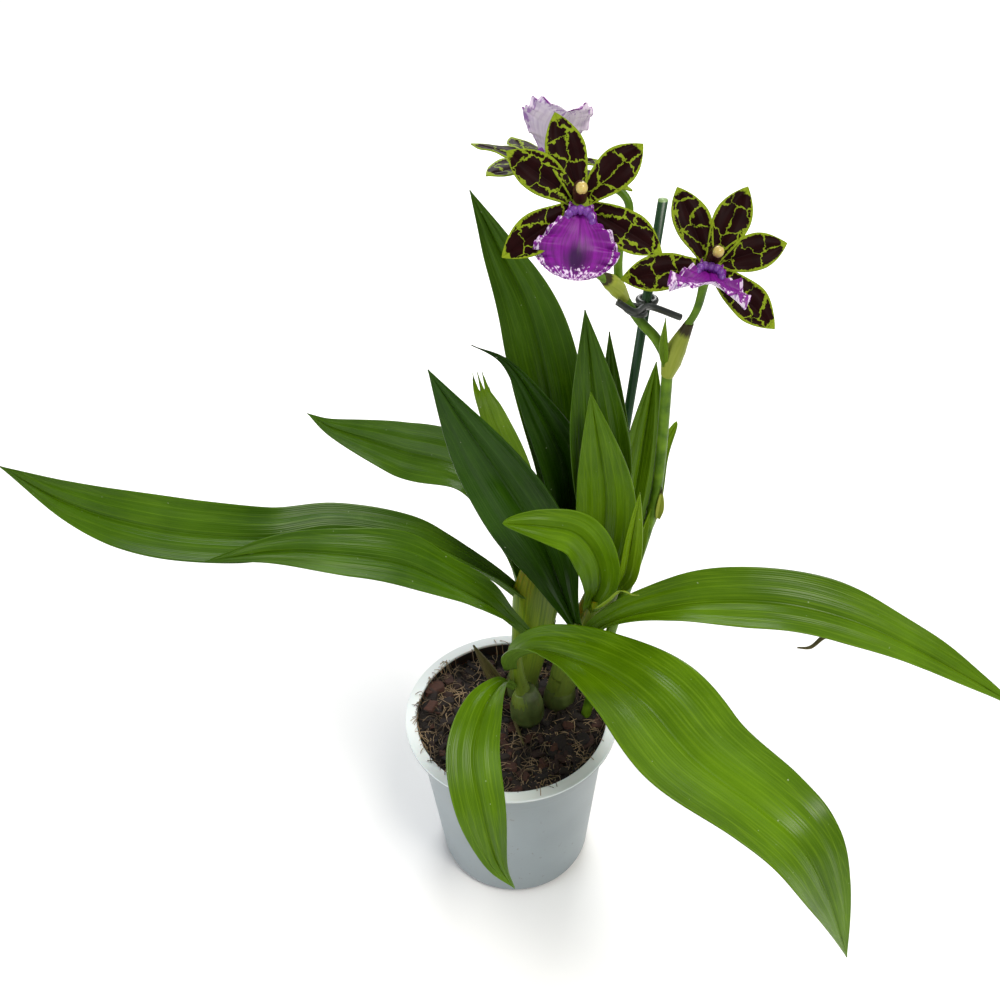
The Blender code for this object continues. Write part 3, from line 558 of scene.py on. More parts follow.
# The leafy shoots: false stems made of leaf sheaths folded one into the next, pale where the light
# never reached them. Each outer sheath ends in a free edge, which shows as a long slanting line.
SHOOTS = {
    "shoot_left": dict(axis=[(7, 24, 110), (12, 21, 145), (16, 16, 185), (20, 12, 222)],
                       wide=(8, 9.5, 11.5, 13, 9), deep=(7.5, 7, 6, 4, 1.6)),
    "shoot_right": dict(axis=[(28, 16, 110), (36, 17, 140), (48, 18, 175), (58, 19, 205)],
                        wide=(7.5, 8.5, 10, 9.5, 6), deep=(7, 6.5, 5.5, 4, 1.6)),
    "shoot_front": dict(axis=[(8, 1, 122), (5, 0, 142), (4, -1, 160)],
                        wide=(4.5, 3.6, 3, 2.4), deep=(4, 3, 2.4, 1.5)),
}
# Each outer sheath: the points it runs between, of nine along the shoot, and how much wider it is there
OUTER_SHEATHS = ((0, 4, 1.07), (1, 6, 1.04), (3, 8, 1.03))

# Living sheath: satin, with long veins from leaf green to yellow, and duller toward its foot
sheath_skin = mottled("folded_leaf_sheath", 0.42, (70.0, 1.5), 3.0, "4c6804", "82961a", 0.3, 0.75, 0.35,
                      0.4 * MM, foot=("66762a", 0.150, 0.118), IOR=1.42, Subsurface_Weight=0.1)
for name, spec in SHOOTS.items():
    bm = bmesh.new()
    oval_stem(bm, **spec, ribs=0.006)
    path = smooth_path(spec["axis"], 9)
    half = between(spec["wide"], 0.5)[0] * MM
    for index, (start, end, grow) in enumerate(OUTER_SHEATHS):
        piece = [p / MM for p in path[start:end + 1]]
        share = np.linspace(start / 8, end / 8, 6)
        wide = [between(spec["wide"], t)[0] * grow for t in share]
        deep = [between(spec["deep"], t)[0] * grow for t in share]
        made = oval_stem(bm, piece, wide, deep, rings=30, ribs=0.006)
        side = 1 if index % 2 else -1
        middle_x = np.mean([p.x for p in path[start:end + 1]])
        gone = []
        for vert in made:
            climb = (vert.co.z - path[start].z) / (path[end].z - path[start].z)
            if (vert.co.x - middle_x) * side > (1.15 - 1.7 * climb) * half:
                gone.append(vert)
        bmesh.ops.delete(bm, geom=gone, context="VERTS")
    if name == "shoot_front":
        oval_stem(bm, [(8.2, 1.4, 119), (7.6, 1, 124), (7.0, 0.8, 128)], (7.9, 7.0, 5.0), (7.0, 6.2, 4.2),
                  rings=14, ribs=0.04)
    shoot = skin_from(name + "_sheaths", bm, sheath_skin)
    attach(shoot, "root")
    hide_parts(name)


# The leaves: long thin blades with a handful of strong ribs and fine parallel veins between them.
# The skin is satin and deep green above and paler below, lighter on young leaves.
VEINS = 34
RIBS = 7
LEAF_THICKNESS = 0.5 * MM


def lance_outline(t, widest, foot, point):
    """Share of the full width of a lance-shaped blade: foot wide at the base, nothing at the tip."""
    if t < widest:
        return foot + (1 - foot) * math.sin(0.5 * math.pi * t / widest) ** 1.4
    return max(0.0, math.cos(0.5 * math.pi * (t - widest) / (1 - widest))) ** point


def blade(name, midrib, sides, width, finish, widest=0.5, foot=0.3, point=1.0, fold=(60, 20, 12), pleat=0.5,
          wave=0.0, waves=3.0, phase=0.0, rows=110, columns=48, thick=LEAF_THICKNESS, tip=0.15 * MM, torn=0.0,
          shape=lance_outline, ruffle=0.0, ruffles=9, groove=0.4, offset=0.0, frame_of=None, curl=0.0):
    """A thin living blade along a midrib, with ribs, a grooved middle and waved edges, upper face first."""
    path = smooth_path(midrib, rows + 1)
    along = tangents(path)
    length = sum((b - a).length for a, b in zip(path, path[1:]))
    bm = bmesh.new()
    uv = bm.loops.layers.uv.new("blade")
    patch_uv = bm.loops.layers.uv.new("patch")
    bmesh.ops.create_grid(bm, x_segments=columns, y_segments=rows, size=1.0)
    spots = {}
    for vert in bm.verts:
        u = vert.co.x
        t = 0.5 * (vert.co.y + 1)
        row = round(t * rows)
        split = torn * abs(math.sin(4.2 * u + 0.9)) * max(0.0, (t - 0.6) / 0.4)
        reach = max(0.0, t - split) * rows
        passed = min(int(reach), rows - 1)
        rib_at = path[passed].lerp(path[passed + 1], reach - passed)
        over = Vector(between(sides, t))
        over = (over - over.dot(along[row]) * along[row]).normalized()
        upper = over.cross(along[row])
        half = max(tip, 0.5 * width * MM * shape(t, widest, foot, point))
        angle = math.radians(between(fold, t)[0])
        full = min(1.0, half / (0.25 * width * MM))
        rise = -pleat * MM * full * (math.cos(3 * math.pi * u) + 0.13 * math.cos(13 * math.pi * u))
        rise -= groove * MM * full * math.exp(-(u / 0.05) ** 2)
        later = (1.9, 1.1) if u > 0 else (0.0, 0.0)
        edge = abs(u) ** 2 * math.sin(math.pi * min(1.0, t * 1.05))
        rise += wave * MM * edge * math.sin(2 * math.pi * waves * t + phase + later[0])
        rise += ruffle * MM * abs(u) ** 3 * full * math.sin(2 * math.pi * ruffles * t + phase * 2 + later[1])
        rise -= curl * MM * abs(u) ** 4 * full
        spots[vert] = (0.5 * (u + 1), t, u * half / MM, t * length / MM)
        rise += half * abs(u) * math.sin(angle)
        vert.co = rib_at + over * half * u * math.cos(angle) + upper * rise
    for face in bm.faces:
        for loop in face.loops:
            u, t, side_mm, along_mm = spots[loop.vert]
            loop[uv].uv = (u, t)
            loop[patch_uv].uv = (side_mm / 10 + offset, along_mm / 10 + offset * 0.7)
    if frame_of:
        bmesh.ops.transform(bm, matrix=frame_of, verts=bm.verts)
    obj = skin_from(name, bm, finish[0], closed=False)
    obj.data.materials.append(finish[1])
    skin = obj.modifiers.new("thickness", "SOLIDIFY")
    skin.thickness = thick
    skin.offset = 0.0
    skin.material_offset = 1
    skin.use_even_offset = torn == 0.0
    return obj


def leaf_finish(name, face, deep, vein, roughness):
    """Living leaf skin: parallel veins a millimetre or so apart, cloudy colour, and a waxy sheen."""
    finish, tree = new_finish(name, roughness, IOR=1.43, Specular_IOR_Level=0.2)
    place = add_node(tree, "TexCoord", out="Object")
    side = add_node(tree, "SeparateXYZ", [add_node(tree, "UVMap", uv_map="blade")], "X")
    sway = add_node(tree, "TexNoise", {"Vector": place, "Scale": across(71.4), "Detail": 2.0})
    swayed = add_node(tree, "Math", [sway, 0.02, side], operation="MULTIPLY_ADD")
    vein_turn = add_node(tree, "Math", [swayed, 2 * math.pi * VEINS], operation="MULTIPLY")
    veins = add_node(tree, "Math", [vein_turn], operation="SINE")
    rib_turn = add_node(tree, "Math", [swayed, 2 * math.pi * RIBS], operation="MULTIPLY")
    ribs = add_node(tree, "Math", [rib_turn], operation="COSINE")
    patch_uv = add_node(tree, "UVMap", uv_map="patch")
    streaks = add_node(tree, "Mapping", {"Vector": patch_uv, "Scale": (9.0, 0.35, 1.0)})
    streak = add_node(tree, "TexNoise", {"Vector": streaks, "Scale": 1.0, "Detail": 4.0})
    cloud = add_node(tree, "TexNoise", {"Vector": place, "Scale": across(45.5), "Detail": 4.0})
    speck = add_node(tree, "TexNoise", {"Vector": place, "Scale": across(1.92), "Detail": 1.0})
    clouded = add_node(tree, "MapRange", [cloud, 0.35, 0.68])
    colour = add_node(tree, "Mix", {"Factor": clouded, "A": deep, "B": face})
    layers = ((streak, 0.5, 0.75, 0.3, vein), (veins, 0.75, 1.0, 0.1, vein), (ribs, 0.9, 1.0, 0.22, vein),
              (speck, 0.79, 0.81, 0.35, "c9d3b4"))
    for layer, low, high, share, tone in layers:
        shows = add_node(tree, "MapRange", [layer, low, high, 0.0, share])
        colour = add_node(tree, "Mix", {"Factor": shows, "A": colour, "B": tone})
    relief = add_node(tree, "Math", [veins, 0.3, ribs], operation="MULTIPLY_ADD")
    return dress(finish, colour, relief, 0.35, 0.25 * MM)


def leaf_faces(name, upper, under):
    """The two faces of a leaf: satin above, paler and duller below. Each has a face, deep and vein tone."""
    return leaf_finish(name, *upper, 0.3), leaf_finish(name + "_back", *under, 0.5)


bright = leaf_faces("bright_leaf", ("537602", "3e5d01", "77981c"), ("567420", "486418", "6a8830"))
middle = leaf_faces("green_leaf", ("406202", "2c4b01", "608218"), ("4c6a20", "3e5a16", "5e7e30"))
dark = leaf_faces("dark_leaf", ("284a02", "1a3601", "3e6010"), ("3c5c18", "304e10", "507028"))
young = leaf_faces("young_leaf", ("688808", "567604", "88a42c"), ("688620", "587816", "809c38"))

# Each leaf: its midrib, the way across it from foot to tip, its width, and the angle it is folded at
LEAVES = {
    "leaf_front_broad": dict(
        midrib=[(3, -2, 150), (4, -7, 164), (13, -13, 175), (26, -22, 181), (45, -38, 186), (63, -64, 191),
                (81, -96, 190), (106, -122, 187), (122, -136, 178), (134, -144, 154), (147, -151, 114)],
        sides=[(-0.4, -1, 0), (-0.9, -0.8, 0.1), (-0.8, -0.7, 0.1), (-0.8, -0.7, 0.1), (-0.8, -0.6, 0)],
        width=60, widest=0.46, foot=0.2, point=1.05, fold=(60, 20, 10, 8, 20), wave=1.2, finish=bright),
    "leaf_front_drooping": dict(
        midrib=[(2, -2, 134), (-5, -10, 146), (-14, -32, 154), (-20, -56, 148), (-17, -76, 130),
                (-11, -86, 100), (-2, -90, 80)],
        sides=[(-0.5, 0.3, 0), (-1, 0.1, 0), (-1, 0.1, 0), (-1, 0.2, 0)],
        width=28, foot=0.2, point=0.95, fold=(50, 15, 10, 20), wave=0.6, finish=bright),
    "leaf_left_long": dict(
        midrib=[(15, 17, 172), (3, 15, 190), (-13, 16, 206), (-33, 15, 223), (-51, 14, 234), (-84, 8, 246),
                (-114, -2, 250), (-146, -14, 264), (-173, -23, 281), (-191, -33, 302), (-203, -45, 329)],
        sides=[(0, 1, 0), (0, 1, 0.1), (0, 1, 0.1), (0, 0.8, 0.4), (0, 0.7, 0.6), (0, 0.7, 0.6)],
        width=31, widest=0.7, fold=(60, 30, 25, 16, 14, 20), wave=1.0, finish=middle),
    "leaf_left_lower": dict(
        midrib=[(12, 12, 158), (0, 5, 180), (-11, -2, 200), (-30, -8, 222), (-52, -10, 238), (-84, -15, 250),
                (-109, -22, 258), (-137, -32, 262)],
        sides=[(0, 1, 0), (0, 1, 0.2), (0, 0.8, 0.5), (0, 0.8, 0.5)],
        width=29, foot=0.25, fold=(60, 18, 14, 20), wave=1.6, waves=3.5, finish=middle),
    "leaf_back_left": dict(
        midrib=[(10, 26, 162), (0, 46, 200), (-17, 68, 231), (-57, 93, 231), (-95, 110, 235),
                (-111, 118, 241)],
        sides=[(0.6, 0.8, 0), (0.5, 0.9, 0.3), (0, 0.8, 0.6), (0, 0.8, 0.6)],
        width=35, widest=0.55, foot=0.25, fold=(60, 20, 10, 20), wave=0.8, finish=middle),
    "leaf_left_upright": dict(
        midrib=[(36, 13, 168), (30, 11, 190), (20, 9, 226), (4, 8, 262), (-14, 7, 299), (-31, 5, 336)],
        sides=[(1, 0.2, 0), (1, 0.1, 0.4), (1, 0, 0.5), (1, 0, 0.5)],
        width=38, foot=0.25, fold=(50, 22, 14, 20), wave=0.6, finish=dark),
    "leaf_tall": dict(
        midrib=[(22, 21, 186), (28, 36, 225), (28, 46, 265), (17, 58, 328), (1, 66, 366), (-10, 70, 390)],
        sides=[(1, 0.2, 0), (1, 0.2, 0), (1, 0.1, 0.2), (1, 0, 0.3)],
        width=36, widest=0.55, foot=0.25, fold=(50, 25, 14, 20), wave=0.8, finish=middle),
    "leaf_tall_thin": dict(
        midrib=[(29, 16, 190), (33, 24, 225), (32, 28, 262), (18, 28, 299), (4, 28, 324), (-12, 28, 334)],
        sides=[(1, 0.3, 0), (1, 0.2, 0), (1, 0, 0.5), (1, 0, 1)],
        width=27, widest=0.42, point=1.5, fold=(50, 25, 14, 30), finish=dark),
    "leaf_back_torn": dict(
        midrib=[(17, 15, 196), (15, 28, 212), (10, 52, 235), (-2, 82, 253), (-8, 96, 265), (-11, 99, 278)],
        sides=[(0.8, 0.6, 0), (1, 0.2, 0), (1, 0, 0)],
        width=16, widest=0.6, point=0.35, fold=(50, 25, 14, 10), tip=3.6 * MM, torn=0.1, pleat=0.1,
        groove=0.1, finish=young),
    "leaf_right_long": dict(
        midrib=[(40, 12, 154), (50, 3, 174), (67, -3, 190), (98, -8, 201), (136, -14, 204), (172, -20, 196),
                (206, -28, 181), (240, -37, 162), (262, -43, 148)],
        sides=[(0, -1, 0), (0, -1, -0.2), (0, -0.9, -0.4), (0, -0.9, -0.4), (0, -0.8, -0.4), (0, -0.8, -0.4)],
        width=35, widest=0.45, foot=0.25, fold=(60, 24, 14, 12, 20), wave=1.2, waves=4, finish=bright),
    "leaf_middle_front": dict(
        midrib=[(50, 15, 188), (49, 10, 206), (49, 9, 228), (49, 10, 262), (41, 10, 318)],
        sides=[(1, 0.1, 0), (1, 0, 0), (1, 0, 0.1)],
        width=32, widest=0.42, foot=0.26, fold=(50, 25, 16, 20), wave=0.5, pleat=0.35, finish=bright),
    "leaf_middle_back": dict(
        midrib=[(54, 19, 192), (50, 18, 225), (47, 18, 275), (42, 21, 325), (39, 24, 352)],
        sides=[(1, 0.2, 0), (1, 0.1, 0), (1, 0, 0.1)],
        width=31, foot=0.26, fold=(50, 25, 16, 20), finish=middle),
    "leaf_middle_far": dict(
        midrib=[(54, 21, 188), (55, 26, 225), (54, 28, 280), (51, 30, 337)],
        sides=[(1, 0.2, 0), (1, 0.1, 0), (1, 0, 0.1)],
        width=20, widest=0.42, fold=(50, 25, 20, 20), finish=middle),
    "leaf_right_back": dict(
        midrib=[(57, 22, 182), (67, 40, 215), (73, 45, 271), (77, 50, 308)],
        sides=[(1, 0.3, 0), (1, 0.2, 0), (1, 0, 0)],
        width=26, fold=(50, 25, 20, 20), finish=bright),
    "leaf_right_small": dict(
        midrib=[(48, 19, 166), (58, 30, 182), (78, 54, 207), (84, 58, 245), (92, 62, 264)],
        sides=[(1, 0.3, 0), (1, 0.2, 0), (1, 0, 0)],
        width=12, point=0.5, fold=(50, 25, 20, 20), pleat=0.2, groove=0.2, finish=young),
    "leaf_curled": dict(
        midrib=[(43, 14, 178), (44, 3, 194), (47, -3, 212), (44, -6, 232), (34, -9, 250), (19, -12, 258),
                (-1, -14, 263)],
        sides=[(1, -0.2, 0), (1, -0.1, 0), (0.8, 0, 0.6), (0.2, 0.6, 0.8), (0, 1, 0.6)],
        width=24, widest=0.6, foot=0.28, point=0.6, fold=(50, 25, 20, 30), pleat=0.25, groove=0.2,
        finish=bright),
    "leaf_folded": dict(
        midrib=[(55, 15, 188), (57.5, 5, 203), (60, -1, 218), (62, -3, 244), (64, -4, 270)],
        sides=[(1, 0, 0), (1, 0.1, 0), (1, 0.1, 0)],
        width=14, widest=0.45, fold=(60, 45, 40, 30), pleat=0.2, groove=0.2, finish=young),
}
for number, (name, spec) in enumerate(LEAVES.items()):
    leaf = blade(name + "_blade", offset=number * 1.7, **spec)
    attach(leaf, "root")
    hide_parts(name)


# Two bits of litter the plant keeps: a dry brown thread under the long right leaf, and the thin pale tip
# of a withered bract curling over that leaf's foot.
bm = bmesh.new()
oval_stem(bm, [(164, -24, 189), (158, -25, 190), (151, -28, 186), (144, -29, 187)], (0.6, 1.3, 1.1, 0.9, 0.5),
          (0.6, 1.0, 0.9, 0.8, 0.4), rings=30, segments=12)
thread = skin_from("dry_thread", bm, papery)
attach(thread, "root")
bm = bmesh.new()
curling = [(46, 6, 192), (44, -12, 203), (50, -14, 210), (56, -12.5, 215), (62, -15, 214.5), (65, -16, 215)]
oval_stem(bm, curling, (1.4, 1.6, 1.3, 1.0, 0.7, 0.3), (0.5, 0.5, 0.45, 0.4, 0.35, 0.3), rings=50,
          segments=12)
curl_tip = skin_from("withered_bract", bm, sheath_skin)
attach(curl_tip, "root")


# The flowers: five waxy tepals, lime green under near-black maroon blotches that stop short of the edge.
# Behind they are plain green with the blotches showing through faintly.

# Each tepal: its length and how far its tip comes forward, in millimetres
TEPALS = {"upper_sepal": (36, 3), "left_petal": (35, 2), "right_petal": (33, 2), "left_sepal": (37, 1),
          "right_sepal": (37, 1)}
TEPAL_VEINS = 12
CALLUS_TEETH = 7


def tepal_finish(name, ground, ground_deep, blotch, blotch_warm, cover):
    """Waxy petal skin: blotches about 8 mm across, split by fine green lines, inside a green margin."""
    finish, tree = new_finish(name, 0.5, IOR=1.42, Specular_IOR_Level=0.05)
    blade_uv = add_node(tree, "UVMap", uv_map="blade")
    patch_uv = add_node(tree, "UVMap", uv_map="patch")
    side = add_node(tree, "SeparateXYZ", [blade_uv], "X")
    along = add_node(tree, "SeparateXYZ", [blade_uv], "Y")
    wander = add_node(tree, "TexNoise", {"Vector": patch_uv, "Scale": 3.2, "Detail": 3.0, "Roughness": 0.6},
                      "Color")
    push = add_node(tree, "VectorMath", [wander, (0.5, 0.5, 0.5)], operation="SUBTRACT")
    pushed = add_node(tree, "VectorMath", [push, (0.55, 0.55, 0.0), patch_uv], operation="MULTIPLY_ADD")
    cells = add_node(tree, "TexVoronoi", {"Vector": pushed, "Scale": 1.15, "Randomness": 0.9}, "Distance",
                     feature="DISTANCE_TO_EDGE", voronoi_dimensions="2D")
    thickness = add_node(tree, "TexNoise", {"Vector": patch_uv, "Scale": 2.1, "Detail": 1.0})
    net = add_node(tree, "MapRange", [thickness, 0.35, 0.7, 0.0, 0.06])
    past_net = add_node(tree, "Math", [cells, net], operation="SUBTRACT")
    shows = add_node(tree, "MapRange", [past_net, 0.0, 0.02])
    centred = add_node(tree, "Math", [side, 2.0, -1.0], operation="MULTIPLY_ADD")
    outward = add_node(tree, "Math", [centred], operation="ABSOLUTE")
    ragged = add_node(tree, "TexNoise", {"Vector": patch_uv, "Scale": 7.0, "Detail": 2.0})
    frayed = add_node(tree, "Math", [ragged, 0.3, outward], operation="MULTIPLY_ADD")
    margin = add_node(tree, "MapRange", [frayed, 1.04, 1.0])
    toward_tip = add_node(tree, "Math", [ragged, 0.12, along], operation="MULTIPLY_ADD")
    tip = add_node(tree, "MapRange", [toward_tip, 0.985, 0.965])
    for limit in (margin, tip, cover):
        shows = add_node(tree, "Math", [shows, limit], operation="MULTIPLY")
    green = add_node(tree, "Mix", {"Factor": ragged, "A": ground_deep, "B": ground})
    maroon = add_node(tree, "Mix", {"Factor": thickness, "A": blotch, "B": blotch_warm})
    vein_turn = add_node(tree, "Math", [side, 2 * math.pi * TEPAL_VEINS], operation="MULTIPLY")
    veins = add_node(tree, "Math", [vein_turn], operation="SINE")
    colour = add_node(tree, "Mix", {"Factor": shows, "A": green, "B": maroon})
    return dress(finish, colour, veins, 0.08, 0.1 * MM)


tepal_faces = (tepal_finish("maroon_blotched_tepal", "8c9c24", "687e16", "110405", "240a0a", 1.0),
               tepal_finish("tepal_back", "84942e", "6a8020", "2e2c12", "352614", 0.7))


def lip_finish(name, centre, body, pale, cover, depth):
    """Velvety lip: violet veins fanning from the throat, a white netted rim and a dark heart."""
    finish, tree = new_finish(name, 0.48, IOR=1.4, Subsurface_Weight=0.06, Specular_IOR_Level=0.35,
                              Subsurface_Radius=(MM, 0.5 * MM, MM))
    blade_uv = add_node(tree, "UVMap", uv_map="blade")
    patch_uv = add_node(tree, "UVMap", uv_map="patch")
    side = add_node(tree, "SeparateXYZ", [blade_uv], "X")
    along = add_node(tree, "SeparateXYZ", [blade_uv], "Y")
    centred = add_node(tree, "Math", [side, 2.0, -1.0], operation="MULTIPLY_ADD")
    outward = add_node(tree, "Math", [centred], operation="ABSOLUTE")
    far = add_node(tree, "Math", [outward, along], operation="MAXIMUM")
    net = add_node(tree, "TexNoise", {"Vector": patch_uv, "Scale": 7.5, "Detail": 3.0, "Roughness": 0.6})
    lines = add_node(tree, "Mapping", {"Vector": blade_uv, "Scale": (26.0, 2.2, 1.0)})
    fan = add_node(tree, "TexNoise", {"Vector": lines, "Scale": 1.0, "Detail": 3.0})
    edge = add_node(tree, "MapRange", [far, 0.35, 0.9])
    frayed = add_node(tree, "Math", [net, fan], operation="ADD")
    netted = add_node(tree, "Math", [frayed, edge], operation="MULTIPLY")
    white = add_node(tree, "MapRange", [netted, 0.98, 1.08, 0.0, cover])
    past_heart = add_node(tree, "Math", [along, 0.72], operation="SUBTRACT")
    from_heart = add_node(tree, "CombineXYZ", {"X": centred, "Y": past_heart})
    from_heart = add_node(tree, "VectorMath", [from_heart, (2.0, 2.6, 1.0)], operation="MULTIPLY")
    heart = add_node(tree, "VectorMath", [from_heart], "Value", operation="LENGTH")
    shade = add_node(tree, "MapRange", [heart, 0.7, 0.25, 0.0, depth])
    veined = add_node(tree, "MapRange", [fan, 0.4, 0.65, 0.0, 0.7])
    colour = add_node(tree, "Mix", {"Factor": veined, "A": body, "B": centre})
    for shows, tone in ((shade, "2a0638"), (white, pale)):
        colour = add_node(tree, "Mix", {"Factor": shows, "A": colour, "B": tone})
    return dress(finish, colour, fan, 0.35, 0.5 * MM)


lip_faces = (lip_finish("violet_lip", "4c0656", "7a1288", "e2cce6", 1.0, 0.9),
             lip_finish("lip_back", "c2aeca", "dccfde", "9a6cb0", 0.85, 0.0))
# Column flesh: smooth and dark, a maroon stalk under the pale cap
throat = mottled("maroon_throat", 0.4, 2.38, 2.0, "240608", "4a1a1c", IOR=1.42)
# Anther cap: creamy wax with a soft shine, a bright dot in the dark middle of the flower
cream = mottled("waxy_anther_cap", 0.35, 3.33, 2.0, "d9bf78", "bd9440", IOR=1.45, Subsurface_Weight=0.2,
                Coat_Weight=0.2)
# Callus: fleshy lilac ridge that lets a little light through
callus = mottled("lilac_callus", 0.4, 2.0, 2.0, "561478", "8448a2", IOR=1.42, Subsurface_Weight=0.15)


def fan_outline(t, widest, foot, point):
    """Share of the full width of a lip: a narrow claw, a wide fan and a blunt rounded end."""
    if t < widest:
        return foot + (1 - foot) * math.sin(0.5 * math.pi * t / widest) ** 2.6
    return max(0.0, 1 - ((t - widest) / (1 - widest)) ** 2) ** point


# Each flower: where it stands and how it is turned, the angles of its tepals, and the line of its lip
FLOWERS = {
    "flower_front": dict(
        centre=(34, 0, 411), facing=(0, -0.78, 0.62), up=(-0.09, 0.62, 0.78), turns=(99, 138, 36, 207, -39),
        hang=[(0, 0), (8, 1.2), (18, 1.5), (28, -2.5)], droop=10, swing=-13, fold=(40, 5, -14, -24)),
    "flower_right": dict(
        centre=(87.8, 5, 380), facing=(0.02, -0.74, 0.67), up=(0.47, 0.62, 0.63),
        turns=(90, 138, 42, 215, -19),
        hang=[(0, 0), (8, 0.5), (16, 3), (25, 9)], droop=45, swing=12, fold=(40, 5, -14, -24)),
    "flower_back": dict(
        centre=(23, 36, 411), facing=(0.20, 0.10, 0.97), up=(-0.30, 0.94, 0.0), turns=(95, 138, 25, 207, -39),
        hang=[(0, 0), (8, 1.2), (18, 1.5), (28, -1)], droop=66, swing=-10, fold=(50, 38, 32, 36)),
}


def join(name, pieces):
    """One object from several, keeping each one's material."""
    for piece in pieces:
        apply_modifiers(piece)
    bm = bmesh.new()
    finishes = []
    for piece in pieces:
        first = len(finishes)
        finishes += list(piece.data.materials)
        seen = len(bm.faces)
        bm.from_mesh(piece.data)
        bm.faces.ensure_lookup_table()
        for face in bm.faces[seen:]:
            face.material_index += first
        bpy.data.objects.remove(piece)
    mesh = bpy.data.meshes.new(name)
    bm.to_mesh(mesh)
    bm.free()
    for finish in finishes:
        mesh.materials.append(finish)
    return in_scene(name, mesh)


def round_stem(bm, points, radii, rings=30, segments=20):
    return oval_stem(bm, points, radii, radii, rings=rings, segments=segments)


for number, (name, spec) in enumerate(FLOWERS.items()):
    front = Vector(spec["facing"]).normalized()
    top = (Vector(spec["up"]) - Vector(spec["up"]).dot(front) * front).normalized()
    turned_to = Matrix((top.cross(front), top, front)).transposed().to_4x4()
    set_in_place = Matrix.Translation(Vector(spec["centre"]) * MM) @ turned_to
    tepals = []
    for index, (label, (length, reach)) in enumerate(TEPALS.items()):
        turn = spec["turns"][index]
        out = Vector((math.cos(math.radians(turn)), math.sin(math.radians(turn)), 0))
        line = [out * 1.5, out * 0.3 * length, out * 0.65 * length, out * length]
        line = [p + Vector((0, 0, z)) for p, z in zip(line, (0, 1.0, 2.0, reach))]
        over = Vector((out.y, -out.x, 0))
        tepals.append(blade(f"{name}_{label}", line, [over, over], 16, tepal_faces, widest=0.56, foot=0.42,
                            point=0.85, fold=(25, 16, 10, 8), pleat=0.2, wave=0.7, waves=2, phase=turn,
                            rows=60, columns=28, thick=0.6 * MM, offset=number * 5.3 + index * 2.1,
                            frame_of=set_in_place, groove=0.25, curl=0.6))
    bm = bmesh.new()
    round_stem(bm, [(0, 0, -4.4), (0, 0, -2.2), (0, 0, 0), (0, 0, 1.4)], (2.0, 4.2, 4.5, 3.2), rings=14,
               segments=28)
    bmesh.ops.transform(bm, matrix=set_in_place, verts=bm.verts)
    tepals.append(skin_from(name + "_ovary", bm, tepal_faces[1]))
    tepals = join(name + "_tepal_whorl", tepals)
    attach(tepals, "root")
    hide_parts(name + "_tepals")
    sink = math.radians(spec["droop"])
    down = Vector((0, -math.cos(sink), math.sin(sink)))
    lift = Vector((0, math.sin(sink), math.cos(sink)))
    swing = set_in_place @ Matrix.Rotation(math.radians(spec["swing"]), 4, "Z")
    line = [Vector((0, -2.6, 2.1)) + down * d + lift * h for d, h in spec["hang"]]
    lip = blade(name + "_lip_fan", line, [(-1, 0, 0), (-1, 0, 0)], 34, lip_faces, widest=0.6, foot=0.34,
                point=0.5, fold=spec["fold"], pleat=0.0, wave=2.2, waves=3.5, rows=90, columns=90,
                shape=fan_outline, ruffle=1.3, groove=0.0, offset=number * 3.1, frame_of=swing)
    bm = bmesh.new()
    ridge = [Vector((x, -2.6, 2.6)) + down * d + lift * h
             for x, d, h in ((-5, 5, 1.2), (-3.6, 2, 2.2), (0, 1, 2.4), (3.6, 2, 2.2), (5, 5, 1.2))]
    for index, at in enumerate(smooth_path(ridge, CALLUS_TEETH)):
        at = at / MM
        bulge = 1.6 + 0.5 * math.sin(math.pi * index / (CALLUS_TEETH - 1))
        radii = (0.3, bulge, bulge * 0.9, 0.2)
        round_stem(bm, [at - down * 1.6, at, at + down * 2.6], radii, rings=10, segments=10)
    bmesh.ops.transform(bm, matrix=swing, verts=bm.verts)
    collar = skin_from(name + "_callus", bm, callus)
    lip = join(name + "_lip_and_callus", [lip, collar])
    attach(lip, "root")
    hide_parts(name + "_lip")
    bm = bmesh.new()
    round_stem(bm, [(0, 2.0, 0.5), (0, 4.6, 6), (0, 3.4, 10.5)], (2.8, 2.9, 2.7, 2.2))
    bmesh.ops.transform(bm, matrix=set_in_place, verts=bm.verts)
    stalk = skin_from(name + "_stalk", bm, throat)
    bm = bmesh.new()
    bmesh.ops.create_uvsphere(bm, u_segments=28, v_segments=18, radius=1.0)
    for vert in bm.verts:
        notch = 1 - 0.12 * math.exp(-(vert.co.x / 0.2) ** 2)
        swollen = Vector((vert.co.x * 2.3, vert.co.y * 2.5 * notch, vert.co.z * 2.0))
        vert.co = swollen * MM + Vector((0, 3.0, 11.4)) * MM
    bmesh.ops.transform(bm, matrix=set_in_place, verts=bm.verts)
    cap = skin_from(name + "_cap", bm, cream)
    column = join(name + "_column_and_cap", [stalk, cap])
    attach(column, "root")
    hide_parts(name + "_column")


# The flower spike: one stem that leaves the foot of the right shoot and forks at every flower. At each
# node a boat-shaped bract wraps the stem, yellow-green with a thin dark edge where it is drying.
SCAPE = [(41, 4, 92), (48, 6, 130), (58, 10, 175), (68, 14, 212), (74, 15, 244), (76, 15, 274), (76, 15, 332)]
RACHIS = [(76, 15, 330), (70, 18, 340), (62, 20, 349), (54, 22, 363), (53, 24, 380), (57, 27, 396),
          (53, 31, 403), (43, 34, 405), (32, 36, 406), (22.5, 36, 409)]
RIGHT_PEDICEL = [(76, 15, 330), (81, 13, 345), (86, 11, 358), (87.5, 7, 378.5)]
FRONT_PEDICEL = [(54, 22, 361), (47, 15, 370), (40, 9, 380), (37, 6, 394), (34.5, 2.2, 409)]

